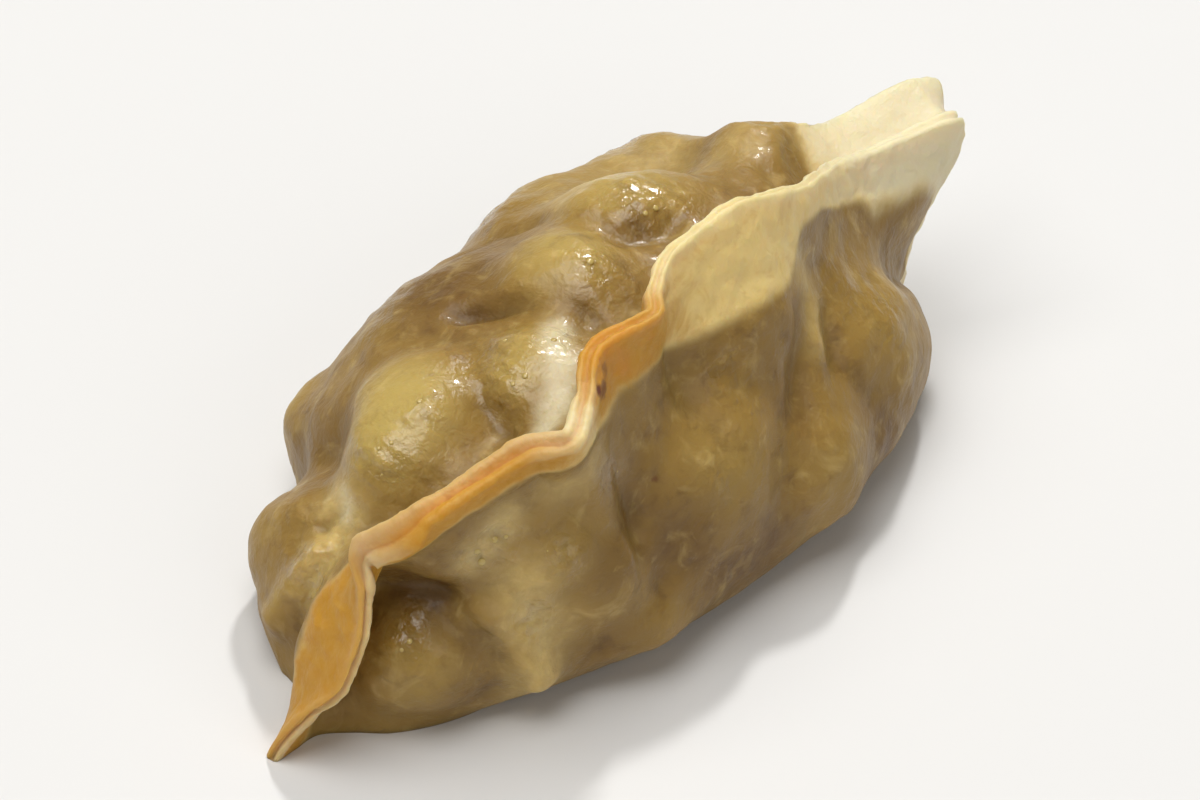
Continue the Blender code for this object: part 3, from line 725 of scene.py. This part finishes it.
def patch_mask(points, patches):
    """How strongly each point lies in any of the patches."""
    mask = np.zeros(points.shape[:-1])
    for x, y, z, reach, strength in patches:
        gap = np.linalg.norm(points - np.array((x, y, z)), axis=-1)
        mask = np.maximum(mask, strength * np.exp(-(gap / reach) ** 2))
    return mask


def line_mask(points, lines):
    """How strongly each point lies on any of the streaks."""
    mask = np.zeros(points.shape[:-1])
    for line, reach, strength in lines:
        mask = np.maximum(mask, strength * np.exp(-(distance_to_line(points, line) / reach) ** 2))
    return mask


def crown(full_edge, steep_edge, outward):
    """Rows round the frill's edge with a groove where the two layers of dough part, how deep in the groove
    each row lies and how far it is on the full side."""
    rows = []
    grooves = []
    across = []
    middle = (full_edge + steep_edge) / 2.0
    half = (full_edge - steep_edge) / 2.0
    for i in range(1, CROWN_ROWS + 1):
        turn = math.pi * i / (CROWN_ROWS + 1)
        groove = math.exp(-(math.cos(turn) / GROOVE_WIDTH) ** 2)
        rise = CROWN_HEIGHT * math.sin(turn) - GROOVE_DEPTH * groove
        row = middle + math.cos(turn) * half + rise * outward
        row[:, 2] = np.maximum(row[:, 2], 0.0)
        rows.append(row)
        grooves.append(groove)
        across.append(math.cos(turn))
    return np.stack(rows), np.array(grooves), np.array(across)


def skin_grid():
    """Rows of points over the whole dumpling, and each point's share along the seam, line, push, groove and
    how far it is on the full side."""
    share = np.linspace(0.0, 1.0, STATIONS)
    frill_at = np.linspace(0.0, FRILL_LINES, FRILL_ROWS, endpoint=False)
    at = np.concatenate([frill_at, np.linspace(FRILL_LINES, LAST_LINE, BELLY_ROWS)])
    full, full_push = skin(share, at, 1)
    steep, steep_push = skin(share, at, -1)
    frill = frill_lines(share)
    edge, edge_groove, edge_across = crown(full[0], steep[0], unit(frill[0] - frill[1]))
    no_push = np.zeros(edge.shape[:2])
    points = np.concatenate([full[::-1], edge, steep])
    push = np.concatenate([full_push[::-1], no_push, steep_push])
    line = np.concatenate([at[::-1], np.zeros(CROWN_ROWS), at])[:, None] + np.zeros(STATIONS)
    groove = np.concatenate([np.zeros(len(at)), edge_groove, np.zeros(len(at))])[:, None] + np.zeros(STATIONS)
    across = np.concatenate([np.ones(len(at)), edge_across, -np.ones(len(at))])[:, None] + np.zeros(STATIONS)
    return points, np.zeros_like(line) + share, line, push, groove, across


def finish_masks(points, share, line, push, groove, across):
    """For each point, how much of each finish it has."""
    full = across > 0.0
    fade_start = along_seam(FRILL_FINISH, 4, share) * ~full + along_seam(FRILL_FINISH, 6, share) * full
    fade_end = along_seam(FRILL_FINISH, 5, share) * ~full + along_seam(FRILL_FINISH, 7, share) * full
    edge = 1.0 - smooth_step(line / EDGE_FADE)
    rim = along_seam(FRILL_RIMS, 1, share) * smooth_step(across + 0.5)
    rim = rim + along_seam(FRILL_RIMS, 2, share) * smooth_step(0.5 - across)
    on_frill = 1.0 - smooth_step((line - fade_start) / (fade_end - fade_start))
    return {
        "frill": on_frill,
        # The edge mask paints a pale line along the rims, painted light where it shows through the thin edge
        "edge": edge * rim,
        "groove": groove * along_seam(FRILL_RIMS, 3, share),
        "steep": smooth_step(0.5 - across * 0.5),
        "golden": on_frill * along_seam(FRILL_FINISH, 1, share),
        "toasted": on_frill * along_seam(FRILL_FINISH, 2, share),
        "cream": np.maximum(
            on_frill * along_seam(FRILL_FINISH, 3, share), line_mask(points, WHITE_LINES)),
        "pale": line_mask(points, PALE_LINES),
        "swell": push,
        # The filling mask: partly filling showing through, partly painted shade under the flange, low on the
        # steep side and on the far slope
        "filling": patch_mask(points, FILLING_AND_SHADE_PATCHES),
        "wet": patch_mask(points, WET_PATCHES),
        "crumple": patch_mask(points, CRUMPLED_PATCHES),
        "above_base": smooth_step(points[..., 2] / RELIEF_HEIGHT),
    }


def grid_faces(index):
    """Quads between neighbouring rows of a grid of vertex numbers."""
    corners = (index[:-1, :-1], index[:-1, 1:], index[1:, 1:], index[1:, :-1])
    return np.stack([corner.ravel() for corner in corners], axis=1)


def close_base(index):
    """The two rims of the flat base as lists of vertex numbers, from the front tip to the back tip."""
    middle = len(index) // 2
    full = np.concatenate([index[middle - 1::-1, 0], index[0, 1:-1], index[:middle, -1]])
    steep = np.concatenate([index[middle + 1:, 0], index[-1, 1:-1], index[:middle:-1, -1]])
    return full, steep, index[middle, 0], index[middle, -1]


def dough_mesh():
    """The dough's closed skin as a fine mesh in metres, with its finish masks stored on the points."""
    grid, share, line, push, groove, across = skin_grid()
    masks = finish_masks(grid, share, line, push, groove, across)
    rows, columns = share.shape
    index = np.arange(rows * columns).reshape(rows, columns)
    full, steep, front_tip, back_tip = close_base(index)
    points = grid.reshape(-1, 3)
    values = {name: mask.ravel() for name, mask in masks.items()}
    base = [full]
    for step in range(1, BASE_ROWS):
        part = step / BASE_ROWS
        base.append(np.arange(len(full)) + len(points))
        between = points[full] * (1.0 - part) + points[steep] * part
        between[:, 2] = 0.0
        points = np.concatenate([points, between])
        for name in values:
            mixed = values[name][full] * (1.0 - part) + values[name][steep] * part
            values[name] = np.concatenate([values[name], mixed])
    base.append(steep)
    base = np.stack(base)
    faces = [tuple(face) for face in np.concatenate([grid_faces(index), grid_faces(base)[:, ::-1]])]
    for tip, rim in ((front_tip, base[:, 0]), (back_tip, base[:, -1])):
        for i in range(0, BASE_ROWS, 2):
            faces.append((tip, rim[i], rim[i + 1], rim[i + 2]))
    mesh = bpy.data.meshes.new("dough")
    mesh.from_pydata((points * MM).tolist(), [], faces)
    for name, value in values.items():
        attribute = mesh.attributes.new(name, "FLOAT", "POINT")
        attribute.data.foreach_set("value", value.astype(np.float32))
    mesh.shade_smooth()
    return mesh


def face_outward(mesh):
    """Turn all faces so that they look away from the filling."""
    work = bmesh.new()
    work.from_mesh(mesh)
    bmesh.ops.recalc_face_normals(work, faces=work.faces)
    work.to_mesh(mesh)
    work.free()


def seam_middle():
    """Middle of the dumpling's box along the seam's axes (mm), which the frame holds over its origin."""
    points = skin_grid()[0].reshape(-1, 3)
    return (points.min(axis=0) + points.max(axis=0)) / 2.0


def in_frame(point, middle):
    """A point of the seam's axes (mm) in the frame (m)."""
    x, y, z = point
    return ((x - middle[0]) * MM, (y - middle[1]) * MM, z * MM)


class Term:
    """A number that changes from place to place, so that node maths reads like a sum."""

    def __init__(self, nodes, socket):
        self.nodes = nodes
        self.socket = socket

    def __add__(self, other):
        return self.nodes.maths("ADD", self, other)

    __radd__ = __add__

    def __sub__(self, other):
        return self.nodes.maths("SUBTRACT", self, other)

    def __rsub__(self, other):
        return self.nodes.maths("SUBTRACT", other, self)

    def __mul__(self, other):
        return self.nodes.maths("MULTIPLY", self, other)

    __rmul__ = __mul__

    def __rtruediv__(self, other):
        return self.nodes.maths("DIVIDE", other, self)

    def __pow__(self, other):
        return self.nodes.maths("POWER", self, other)


class Nodes:
    """Writes nodes into one tree."""

    def __init__(self, tree):
        self.tree = tree

    def add(self, kind, settings, inputs):
        """One node of that kind, with its settings made first, then its sockets' values or links."""
        node = self.tree.nodes.new(kind)
        for name, value in settings.items():
            setattr(node, name, value)
        for name, value in inputs.items():
            socket = next(s for s in node.inputs if name in (s.identifier, s.name))
            self.feed(socket, value)
        return node

    def feed(self, socket, value):
        """Link a value into a socket, or set it there."""
        if isinstance(value, Term):
            value = value.socket
        if isinstance(value, bpy.types.NodeSocket):
            self.tree.links.new(value, socket)
        else:
            socket.default_value = value

    def output(self, node, name):
        """One output of a node as a term."""
        return Term(self, next(s for s in node.outputs if name in (s.identifier, s.name)))

    def maths(self, operation, first, second, clamp=False):
        """A sum of two terms or numbers."""
        node = self.add("ShaderNodeMath", {"operation": operation, "use_clamp": clamp}, {})
        self.feed(node.inputs[0], first)
        self.feed(node.inputs[1], second)
        return Term(self, node.outputs[0])

    def clamped(self, term):
        """The term kept between nothing and one."""
        return self.maths("ADD", term, 0.0, clamp=True)

    def step_up(self, term, low, high):
        """Zero where the term is below low, one where it is above high, and an even curve between."""
        node = self.add(
            "ShaderNodeMapRange", {"interpolation_type": "SMOOTHSTEP"},
            {"Value": term, "From Min": low, "From Max": high, "To Min": 0.0, "To Max": 1.0})
        return self.output(node, "Result")

    def noise(self, place, name):
        """One of the finish's soft noises, from nothing to one."""
        size, detail, rough, seed, stretch = NOISES[name]
        node = self.add(
            "ShaderNodeTexNoise", {"noise_dimensions": "4D"},
            {"Vector": place, "W": seed, "Scale": 1.0 / (size * MM), "Detail": detail, "Roughness": rough,
             "Distortion": stretch})
        return self.output(node, "Fac")

    def blend(self, first, second, share):
        """A colour between two colours."""
        node = self.add(
            "ShaderNodeMix", {"data_type": "RGBA", "clamp_factor": True},
            {"Factor_Float": share, "A_Color": first, "B_Color": second})
        return self.output(node, "Result_Color")


class Finish(Nodes):
    """A material's nodes."""

    def __init__(self, name):
        self.material = bpy.data.materials.new(name)
        self.material.use_nodes = True
        super().__init__(self.material.node_tree)
        self.shader = self.tree.nodes["Principled BSDF"]

    def place(self):
        """Where a point of the surface is, in the object's own coordinates."""
        return self.output(self.add("ShaderNodeTexCoord", {}, {}), "Object").socket

    def mask(self, name):
        """One of the masks stored on the mesh."""
        settings = {"attribute_type": "GEOMETRY", "attribute_name": name}
        return self.output(self.add("ShaderNodeAttribute", settings, {}), "Fac")

    def near(self, place, point, radius, wobble):
        """One close to a point and nothing beyond the radius, with an uneven rim."""
        node = self.add(
            "ShaderNodeVectorMath", {"operation": "DISTANCE"}, {"Vector": place, "Vector_001": point})
        gap = self.output(node, "Value") + wobble * radius
        return 1.0 - self.step_up(gap, radius * SPECK_CORE, radius)

    def set_input(self, name, value):
        """Set or link one socket of the shader."""
        self.feed(self.shader.inputs[name], value)

    def bump(self, height, distance):
        """Normals raised by a height."""
        node = self.add(
            "ShaderNodeBump", {}, {"Height": height, "Distance": distance, "Strength": 1.0})
        return self.output(node, "Normal")


def dough_colour(finish, place, colours, specks):
    """Colour of the dough: filling showing through, painted light on the swells, painted shade in the
    hollows, under the flange and low on the steep side, the frill's tones with painted light along its rims,
    and dark specks.
    """
    noises = {name: finish.noise(place, name) for name in ("blotches", "mince", "flour", "streaks")}

    def uneven(name, term):
        """How full a tone is where its term rises, with an uneven rim."""
        noise, swing, low, high = TONE_RIMS[name]
        return finish.step_up(term + (noises[noise] - 0.5) * swing, low, high)

    def blotchy(name, where):
        """A share of a tone in blotches."""
        noise, low, high, share = TONE_BLOTCHES[name]
        return finish.step_up(noises[noise], low, high) * where * share

    def patchy(name, where):
        """A tone mixed in more in some places than in others."""
        noise, least, more = TONE_SHARES[name]
        return where * (noises[noise] * more + least)

    swell = finish.mask("swell")
    off_frill = 1.0 - finish.mask("frill")
    # Painted light: the lump tops take the lighter swell colour, less on the steep side, which is painted in
    # shade
    lit = uneven("lit", swell) * (1.0 - finish.mask("steep") * STEEP_SHADE)
    tone = finish.blend(tuple(colours.belly), tuple(colours.swell), lit)
    # Painted shade: the hollows between lumps and the dark patches darken towards the filling colour, the
    # patches partly being filling seen through the dough
    hollow_shade = uneven("hollow_shade", HOLLOW_SHADE_BASE - swell * HOLLOW_SHADE_LOST_ON_SWELL)
    hollow_shade = hollow_shade * off_frill * finish.mask("above_base")
    shows = finish.clamped(hollow_shade * HOLLOW_SHADE_SHARE + patchy("filling", finish.mask("filling")))
    tone = finish.blend(tone, tuple(colours.filling), shows * FILLING_AND_SHADE_SHARE)
    tone = finish.blend(tone, tuple(colours.filling), blotchy("mottle", off_frill))
    tone = finish.blend(tone, tuple(colours.pressed), blotchy("bloom", off_frill))
    pressed = finish.blend(tuple(colours.pressed), tuple(colours.golden), blotchy("golden", 1.0))
    tone = finish.blend(tone, pressed, uneven("frill", finish.mask("frill")))
    golden = patchy("golden", uneven("golden", finish.mask("golden")))
    tone = finish.blend(tone, tuple(colours.golden), golden)
    toasted = uneven("toasted", finish.mask("toasted"))
    tone = finish.blend(tone, tuple(colours.toasted), toasted * TOASTED_SHARE)
    tone = finish.blend(tone, tuple(colours.pressed), patchy("pale", finish.mask("pale")))
    tone = finish.blend(tone, tuple(colours.cream), uneven("cream", finish.mask("cream")))
    # Painted light: a pale line along the rims of the frill's edge, where light shows through the thin dough
    edge = patchy("edge", finish.mask("edge")) * (1.0 - toasted * TOAST_ON_EDGE)
    tone = finish.blend(tone, tuple(colours.cream), edge)
    tone = finish.blend(tone, tuple(colours.toasted), patchy("groove", finish.mask("groove")))
    wobble = (noises["flour"] - 0.5) * SPECK_WOBBLE
    for x, y, z, radius, strength in specks:
        speck = finish.near(place, (x, y, z), radius, wobble) * strength
        tone = finish.blend(tone, tuple(colours.speck), speck)
    return tone


def dough_material(settings, specks):
    """Moist, slightly see-through dough."""
    finish = Finish("steamed_dough")
    place = finish.place()
    finish.set_input("Base Color", dough_colour(finish, place, settings.colours, specks))
    wet = finish.mask("wet")
    frill = finish.mask("frill")
    film = finish.step_up(finish.noise(place, "film"), *FILM_RANGE)
    moist = finish.clamped(wet + film * (FILM_SHARE - frill * FILM_LOST_ON_FRILL))

    def shine(dry, by_moist, by_wet, by_frill):
        """A measure of the surface, from its value when dry and what moisture and the frill add."""
        return dry + moist * by_moist + wet * by_wet + frill * by_frill

    finish.set_input("Roughness", shine(*ROUGHNESS))
    finish.set_input("Coat Weight", finish.clamped(shine(*COAT)))
    for name, value in DOUGH_BODY.items():
        finish.set_input(name, value)
    height = finish.noise(place, "ripples") * (RIPPLE_BUMP + moist * RIPPLE_BUMP_MOIST)
    height = height + finish.noise(place, "pores") * PORE_BUMP + finish.noise(place, "creases") * CREASE_BUMP
    finish.set_input("Normal", finish.bump(height, BUMP_HEIGHT))
    return finish.material


def new_geometry_tree(name, inputs):
    """An empty geometry tree with a mesh coming in and going out, and named inputs for its sizes."""
    tree = bpy.data.node_groups.new(name, "GeometryNodeTree")
    tree.interface.new_socket("Geometry", in_out="INPUT", socket_type="NodeSocketGeometry")
    for label, kind in inputs:
        tree.interface.new_socket(label, in_out="INPUT", socket_type=kind)
    tree.interface.new_socket("Geometry", in_out="OUTPUT", socket_type="NodeSocketGeometry")
    return tree


def stored(nodes, name):
    """One of the masks stored on the mesh, inside a geometry tree."""
    node = nodes.add("GeometryNodeInputNamedAttribute", {"data_type": "FLOAT"}, {"Name": name})
    return nodes.output(node, "Attribute")


def set_material_and_end(nodes, geometry, material):
    """Realise what is instanced, give it its material and send it out."""
    real = nodes.add("GeometryNodeRealizeInstances", {}, {"Geometry": geometry})
    dressed = nodes.add(
        "GeometryNodeSetMaterial", {}, {"Geometry": real.outputs["Geometry"], "Material": material})
    nodes.add("NodeGroupOutput", {}, {"Geometry": dressed.outputs["Geometry"]})


# Noises of the relief: what is added to the seed, detail and distortion
RELIEF_NOISES = {
    "Grain": (0.0, 1.5, 0.0),
    "Wrinkle": (11.0, 1.5, 0.8),
    "Ripple": (23.0, 1.0, 0.3),
    "Crinkle": (37.0, 2.0, 0.6),
}
RELIEF_SIZES = [f"{name} {measure}" for name in RELIEF_NOISES for measure in ("size", "height")]
RELIEF_INPUTS = (
    *((label, "NodeSocketFloat") for label in RELIEF_SIZES),
    ("Seed", "NodeSocketFloat"), ("Material", "NodeSocketMaterial"),
)
NOISE_SWING = 2.6
GRAIN_LOST_ON_FRILL = 0.75
WRINKLES_EVERYWHERE = 0.1


def scaled_noise(nodes, place, size, seed, detail, distortion):
    """Noise round nothing, from about minus one to one, with blotches of that size."""
    node = nodes.add(
        "ShaderNodeTexNoise", {"noise_dimensions": "4D"},
        {"Vector": place, "W": seed, "Scale": 1.0 / size, "Detail": detail, "Distortion": distortion})
    return (nodes.output(node, "Fac") - 0.5) * NOISE_SWING


def relief_tree():
    """Small relief of the dough: grains of filling, wrinkles, ripples in the moist patches, crinkles."""
    tree = new_geometry_tree("dough_relief", RELIEF_INPUTS)
    nodes = Nodes(tree)
    given = nodes.add("NodeGroupInput", {}, {})
    place = nodes.add("GeometryNodeInputPosition", {}, {}).outputs["Position"]
    seed = nodes.output(given, "Seed")
    relief_of = {}
    for name, (more_seed, detail, distortion) in RELIEF_NOISES.items():
        size = nodes.output(given, f"{name} size")
        noise = scaled_noise(nodes, place, size, seed + more_seed, detail, distortion)
        relief_of[name] = noise * nodes.output(given, f"{name} height")
    frill = stored(nodes, "frill")
    crumple = stored(nodes, "crumple") * (1.0 - WRINKLES_EVERYWHERE) + WRINKLES_EVERYWHERE
    height = relief_of["Grain"] * (1.0 - frill * GRAIN_LOST_ON_FRILL)
    height = height + relief_of["Wrinkle"] * crumple
    height = height + relief_of["Ripple"] * stored(nodes, "wet")
    height = height + relief_of["Crinkle"] * frill
    height = height * stored(nodes, "above_base")
    normal = nodes.add("GeometryNodeInputNormal", {}, {}).outputs["Normal"]
    offset = nodes.add("ShaderNodeVectorMath", {"operation": "SCALE"}, {"Vector": normal, "Scale": height})
    moved = nodes.add(
        "GeometryNodeSetPosition", {},
        {"Geometry": given.outputs["Geometry"], "Offset": offset.outputs["Vector"]})
    set_material_and_end(nodes, moved.outputs["Geometry"], given.outputs["Material"])
    return tree


BEAD_INPUTS = (
    ("Radius", "NodeSocketFloat"), ("Spacing", "NodeSocketFloat"),
    ("Seed", "NodeSocketInt"), ("Material", "NodeSocketMaterial"),
)
BEAD_DENSITY = 900000.0
BEAD_WETNESS = (0.45, 1.0)
BEAD_FLATNESS = 0.42
BEAD_SUBDIVISIONS = 2
BEAD_LEAST_SHARE = 0.3
BEAD_SMALLNESS = 2.0
BEAD_SHINE = {"Roughness": 0.12, "IOR": 1.34, "Coat Weight": 1.0, "Coat Roughness": 0.04}


def bead_tree():
    """Flattened beads of moisture, thick in the moist patches."""
    tree = new_geometry_tree("moisture_beads", BEAD_INPUTS)
    nodes = Nodes(tree)
    given = nodes.add("NodeGroupInput", {}, {})
    chance = nodes.step_up(stored(nodes, "wet"), *BEAD_WETNESS)
    points = nodes.add(
        "GeometryNodeDistributePointsOnFaces", {"distribute_method": "POISSON"},
        {"Mesh": given.outputs["Geometry"], "Distance Min": given.outputs["Spacing"],
         "Density Max": BEAD_DENSITY, "Density Factor": chance, "Seed": given.outputs["Seed"]})
    ball = nodes.add("GeometryNodeMeshIcoSphere", {}, {"Radius": 1.0, "Subdivisions": BEAD_SUBDIVISIONS})
    share = nodes.add(
        "FunctionNodeRandomValue", {"data_type": "FLOAT"},
        {"Min_001": BEAD_LEAST_SHARE, "Max_001": 1.0, "Seed": given.outputs["Seed"]})
    radius = nodes.output(given, "Radius") * (nodes.output(share, "Value_001") ** BEAD_SMALLNESS)
    size = nodes.add(
        "ShaderNodeCombineXYZ", {}, {"X": radius, "Y": radius, "Z": radius * BEAD_FLATNESS})
    beads = nodes.add(
        "GeometryNodeInstanceOnPoints", {},
        {"Points": points.outputs["Points"], "Instance": ball.outputs["Mesh"],
         "Rotation": points.outputs["Rotation"], "Scale": size.outputs["Vector"]})
    smooth = nodes.add("GeometryNodeRealizeInstances", {}, {"Geometry": beads.outputs["Instances"]})
    shaded = nodes.add("GeometryNodeSetShadeSmooth", {}, {"Geometry": smooth.outputs["Geometry"]})
    set_material_and_end(nodes, shaded.outputs["Geometry"], given.outputs["Material"])
    return tree


def run_tree(mesh, tree, values):
    """The plain mesh that a geometry tree makes of a mesh."""
    carrier = bpy.data.objects.new("carrier", mesh)
    bpy.context.scene.collection.objects.link(carrier)
    modifier = carrier.modifiers.new(tree.name, "NODES")
    modifier.node_group = tree
    for item in tree.interface.items_tree:
        if item.in_out == "INPUT" and item.name in values:
            modifier[item.identifier] = values[item.name]
    depsgraph = bpy.context.evaluated_depsgraph_get()
    made = bpy.data.meshes.new_from_object(
        carrier.evaluated_get(depsgraph), preserve_all_data_layers=True, depsgraph=depsgraph)
    carrier.modifiers.remove(modifier)
    bpy.data.objects.remove(carrier, do_unlink=True)
    return made


def fit_to_box(mesh, low, high):
    """Stretch and shift the mesh the little that its box needs to be the given one."""
    points = np.empty(len(mesh.vertices) * 3)
    mesh.vertices.foreach_get("co", points)
    points = points.reshape(-1, 3)
    least = points.min(axis=0)
    most = points.max(axis=0)
    low = np.array(low)
    high = np.array(high)
    points = low + (points - least) / (most - least) * (high - low)
    mesh.vertices.foreach_set("co", points.ravel())
    mesh.update()


def show(name, mesh):
    """A new object with that mesh."""
    piece = bpy.data.objects.new(name, mesh)
    bpy.context.scene.collection.objects.link(piece)
    return piece


def aim(item, location, target, roll=0.0):
    """Stand a light or camera at a place and point it at a target."""
    back = (Vector(location) - Vector(target)).normalized()
    item.location = location
    item.rotation_mode = "QUATERNION"
    item.rotation_quaternion = (-back).to_track_quat("-Z", "Y") @ Quaternion((0.0, 0.0, 1.0), roll)


def direction(compass, height):
    """The way that lies at a compass turn and a height above the horizon (degrees)."""
    around = math.radians(compass)
    up = math.radians(height)
    return Vector((math.cos(around) * math.cos(up), math.sin(around) * math.cos(up), math.sin(up)))


class DUMPLING_OT_dough(bpy.types.Operator):
    """Build the dough's skin over the filling"""

    bl_idname = "dumpling.dough"
    bl_label = "Dough skin"

    def execute(self, context):
        settings = context.scene.dumpling
        sizes = settings.sizes
        middle = seam_middle()
        specks = [(*in_frame(row[:3], middle), row[3] * MM, row[4]) for row in SPECKS]
        mesh = dough_mesh()
        face_outward(mesh)
        values = {"Seed": float(sizes.seed), "Material": dough_material(settings, specks)}
        for label in RELIEF_SIZES:
            values[label] = getattr(sizes, label.lower().replace(" ", "_"))
        made = run_tree(mesh, relief_tree(), values)
        fit_to_box(made, *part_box(NODE))
        piece = show("dough_skin", made)
        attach(piece, BODY)
        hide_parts(NODE)
        return {"FINISHED"}


class DUMPLING_OT_moisture(bpy.types.Operator):
    """Set beads of moisture on the dough"""

    bl_idname = "dumpling.moisture"
    bl_label = "Beads of moisture"

    def execute(self, context):
        settings = context.scene.dumpling
        sizes = settings.sizes
        dough = bpy.data.objects["dough_skin"]
        finish = Finish("moisture")
        # The beads take the swell colour, the tone painted as light on the lump tops
        finish.set_input("Base Color", tuple(settings.colours.swell))
        for name, value in BEAD_SHINE.items():
            finish.set_input(name, value)
        values = {
            "Radius": sizes.bead_radius, "Spacing": sizes.bead_spacing,
            "Seed": sizes.seed, "Material": finish.material,
        }
        made = run_tree(dough.data.copy(), bead_tree(), values)
        piece = show("moisture_beads", made)
        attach(piece, BODY)
        return {"FINISHED"}


class DUMPLING_OT_stage(bpy.types.Operator):
    """Set the floor, the lights and the camera"""

    bl_idname = "dumpling.stage"
    bl_label = "Floor, lights and camera"

    def execute(self, context):
        settings = context.scene.dumpling.stage
        scene = context.scene
        scene.view_settings.view_transform = "Standard"
        mesh = bpy.data.meshes.new("floor")
        half = FLOOR_SIZE / 2.0
        corners = [(-half, -half, 0.0), (half, -half, 0.0), (half, half, 0.0), (-half, half, 0.0)]
        mesh.from_pydata(corners, [], [(0, 1, 2, 3)])
        floor = show("floor", mesh)
        finish = Finish("plain_floor")
        finish.set_input("Base Color", tuple(settings.floor))
        finish.set_input("Roughness", FLOOR_ROUGHNESS)
        mesh.materials.append(finish.material)
        world = bpy.data.worlds.new("soft_sky")
        world.use_nodes = True
        sky = world.node_tree.nodes["Background"]
        sky.inputs["Color"].default_value = SKY_COLOUR
        sky.inputs["Strength"].default_value = settings.sky_strength
        scene.world = world
        target = Vector(in_frame(LOOK_AT, seam_middle()))
        camera_side = CAMERA_AXIS_TURN + 180.0
        back = direction(camera_side, CAMERA_ELEVATION)
        data = bpy.data.cameras.new("camera")
        data.lens = CAMERA_LENS
        data.sensor_width = CAMERA_SENSOR
        data.clip_start, data.clip_end = CAMERA_CLIP
        camera = show("camera", data)
        aim(camera, target + back * CAMERA_DISTANCE * MM, target, math.radians(CAMERA_ROLL))
        scene.camera = camera
        for name, size, distance, compass, height, share in LIGHTS:
            lamp = bpy.data.lights.new(name, "AREA")
            lamp.shape = "RECTANGLE"
            lamp.size, lamp.size_y = size
            lamp.energy = settings.light_power * share
            light = show(name, lamp)
            out = direction(camera_side + compass, height)
            aim(light, target + out * distance, target)
        return {"FINISHED"}


class DUMPLING_PT_panel(bpy.types.Panel):
    """Lists what the dumpling is made of"""

    bl_label = "Beef dumpling"
    bl_idname = "DUMPLING_PT_panel"
    bl_space_type = "VIEW_3D"
    bl_region_type = "UI"
    bl_category = "Dumpling"

    def draw(self, context):
        for operator in OPERATORS:
            self.layout.operator(operator.bl_idname)
        settings = context.scene.dumpling
        for group in (settings.sizes, settings.colours, settings.stage):
            for name in group.bl_rna.properties.keys():
                if name not in {"rna_type", "name"}:
                    self.layout.prop(group, name)


class DumplingSettings(bpy.types.PropertyGroup):
    """All settings of the dumpling."""

    sizes: PointerProperty(type=DumplingSizes)
    colours: PointerProperty(type=DumplingColours)
    stage: PointerProperty(type=DumplingStage)


OPERATORS = (DUMPLING_OT_dough, DUMPLING_OT_moisture, DUMPLING_OT_stage)
CLASSES = (DumplingSizes, DumplingColours, DumplingStage, DumplingSettings, *OPERATORS, DUMPLING_PT_panel)


def register():
    """Make Blender know the settings, the operators and the panel."""
    for item in CLASSES:
        bpy.utils.register_class(item)
    bpy.types.Scene.dumpling = PointerProperty(type=DumplingSettings)


def unregister():
    """Take them away again."""
    del bpy.types.Scene.dumpling
    for item in reversed(CLASSES):
        bpy.utils.unregister_class(item)


def main():
    """Dress the dumpling and set its stage."""
    register()
    bpy.ops.dumpling.dough()
    bpy.ops.dumpling.moisture()
    bpy.ops.dumpling.stage()


if __name__ == "__main__":
    main()
